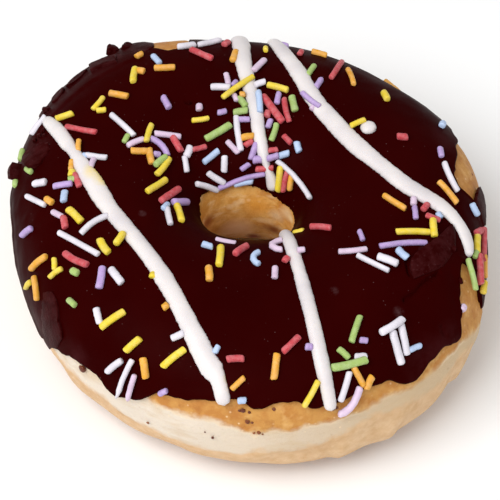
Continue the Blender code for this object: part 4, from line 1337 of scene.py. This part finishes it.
def laid_rod(master, at, length, draw, settings):
    """The master rod's points, bent along a route and made a little uneven."""
    thickness = settings.radius * (1.0 + draw.uniform(-settings.uneven, settings.uneven))
    squash = 1.0 + draw.uniform(-0.08, 0.08)
    slants = [Vector((0.0, draw.uniform(-0.35, 0.35), draw.uniform(-0.35, 0.35))) for _ in range(2)]
    shift = any_shift(draw)
    half_units = max(1.05, length * MM / thickness / 2.0)
    stretched = ROD_HALF - ROD_END
    rings = {}
    points = []
    for co in master:
        key = round(co.x, 3)
        if key not in rings:
            end = abs(co.x) - stretched
            along = half_units - ROD_END
            along = along + end if end > 0.0 else abs(co.x) / stretched * along
            share = math.copysign(along, co.x) / half_units / 2.0 + 0.5
            place, normal = at(share)
            ahead = (at(share + 0.02)[0] - at(share - 0.02)[0]).normalized()
            sideways = ahead.cross(normal).normalized()
            rings[key] = place, ahead, sideways, sideways.cross(ahead).normalized()
        place, ahead, sideways, up = rings[key]
        size = thickness * (1.0 + 0.11 * noise.noise(co * 0.8 + shift))
        point = place + (sideways * co.y * squash + up * co.z / squash) * size
        if abs(co.x) > ROD_HALF - ROD_END / 2.0:
            point += ahead * slants[0 if co.x > 0.0 else 1].dot(co) * 0.6 * thickness
        points.append(point)
    return points


class DOUGHNUT_OT_sprinkles(bpy.types.Operator):
    """Add the sprinkles, one piece for each colour"""

    bl_idname = "doughnut.sprinkles"
    bl_label = "Sprinkles"

    def execute(self, context):
        settings = context.scene.doughnut_sprinkles
        frosting = context.scene.doughnut_frosting
        master, loops = take_apart(model_sprinkle(settings.sides))
        for colour, rows in SPRINKLES.items():
            draw = random.Random("rods of " + colour)
            laid = []
            for row in rows:
                x, y, heading, length, bend, lift = (*row, 0.0, 0.0)[:6]
                bend = bend or draw.uniform(-16.0, 16.0)
                laid.append((top_route(x, y, heading, length, bend, lift, settings, frosting), length))
            for name, turn, rise, heading, length in SIDE_SPRINKLES:
                if name == colour:
                    laid.append((side_route(turn, rise, heading, length, settings, frosting), length))
            copies = [laid_rod(master, at, length, draw, settings) for at, length in laid]
            piece = add_copies(context, "sprinkles_" + colour, loops, copies)
            bpy.ops.object.shade_smooth()
            piece.data.materials.append(sprinkle_material(colour, COLOURS[colour]))
            finish_piece(piece, "frosting")
        return {"FINISHED"}


class DOUGHNUT_OT_stage(bpy.types.Operator):
    """Add the floor, the lights and the camera"""

    bl_idname = "doughnut.stage"
    bl_label = "Stage"

    def execute(self, context):
        settings = context.scene.doughnut_stage
        begin()
        bpy.ops.mesh.primitive_plane_add(size=FLOOR_SIZE, location=(0.0, 0.0, -FLOOR_GAP))
        floor = context.object
        floor.name = "floor"
        shader = Shader("pale_floor")
        shader.set(Base_Color=settings.floor_colour, Roughness=0.8)
        floor.data.materials.append(shader.material)

        world = bpy.data.worlds.new("studio")
        world.use_nodes = True
        sky = world.node_tree.nodes["Background"].inputs
        sky["Color"].default_value = (1.0, 1.0, 1.0, 1.0)
        sky["Strength"].default_value = SKY_STRENGTH
        context.scene.world = world
        for name, place, size, power in LAMPS:
            bpy.ops.object.light_add(type="AREA", location=place)
            lamp = context.object
            lamp.name = name
            lamp.data.size = size
            lamp.data.energy = power
            lamp.rotation_euler = (RING_CENTRE - Vector(place)).to_track_quat("-Z", "Y").to_euler()

        angle = settings.elevation
        back = Vector((0.0, -math.cos(angle), math.sin(angle)))
        up = Vector((0.0, math.sin(angle), math.cos(angle)))
        scale = settings.pixels_per_mm / MM
        aim = Vector((-settings.aim_right_px / scale, 0.0, 0.0)) - up * (settings.aim_up_px / scale)
        bpy.ops.object.camera_add(location=RING_CENTRE + aim + back * settings.distance)
        camera = context.object
        camera.rotation_euler = (-back).to_track_quat("-Z", "Y").to_euler()
        camera.data.sensor_width = SENSOR_MM
        camera.data.lens = scale * settings.distance * SENSOR_MM / PHOTO_WIDTH_PX
        camera.data.clip_start = 0.01
        context.scene.camera = camera
        context.scene.view_settings.view_transform = "Standard"
        return {"FINISHED"}


class DOUGHNUT_PT_panel(bpy.types.Panel):
    """Lists the doughnut's pieces"""

    bl_label = "Doughnut"
    bl_idname = "DOUGHNUT_PT_panel"
    bl_space_type = "VIEW_3D"
    bl_region_type = "UI"
    bl_category = "Doughnut"

    def draw(self, context):
        for step in STEPS:
            self.layout.operator(step.bl_idname)


SETTINGS = {
    "doughnut_dough": DoughSettings,
    "doughnut_frosting": FrostingSettings,
    "doughnut_drizzle": DrizzleSettings,
    "doughnut_sprinkles": SprinkleSettings,
    "doughnut_stage": StageSettings,
}
STEPS = (
    DOUGHNUT_OT_dough,
    DOUGHNUT_OT_frosting,
    DOUGHNUT_OT_flakes,
    DOUGHNUT_OT_drizzle,
    DOUGHNUT_OT_sprinkles,
    DOUGHNUT_OT_stage,
)


def register():
    for kind in (*SETTINGS.values(), *STEPS, DOUGHNUT_PT_panel):
        bpy.utils.register_class(kind)
    for name, kind in SETTINGS.items():
        setattr(bpy.types.Scene, name, bpy.props.PointerProperty(type=kind))


def unregister():
    for name in SETTINGS:
        delattr(bpy.types.Scene, name)
    for kind in reversed((*SETTINGS.values(), *STEPS, DOUGHNUT_PT_panel)):
        bpy.utils.unregister_class(kind)


def main():
    register()
    for step in STEPS:
        group, name = step.bl_idname.split(".")
        getattr(getattr(bpy.ops, group), name)()


if __name__ == "__main__":
    main()
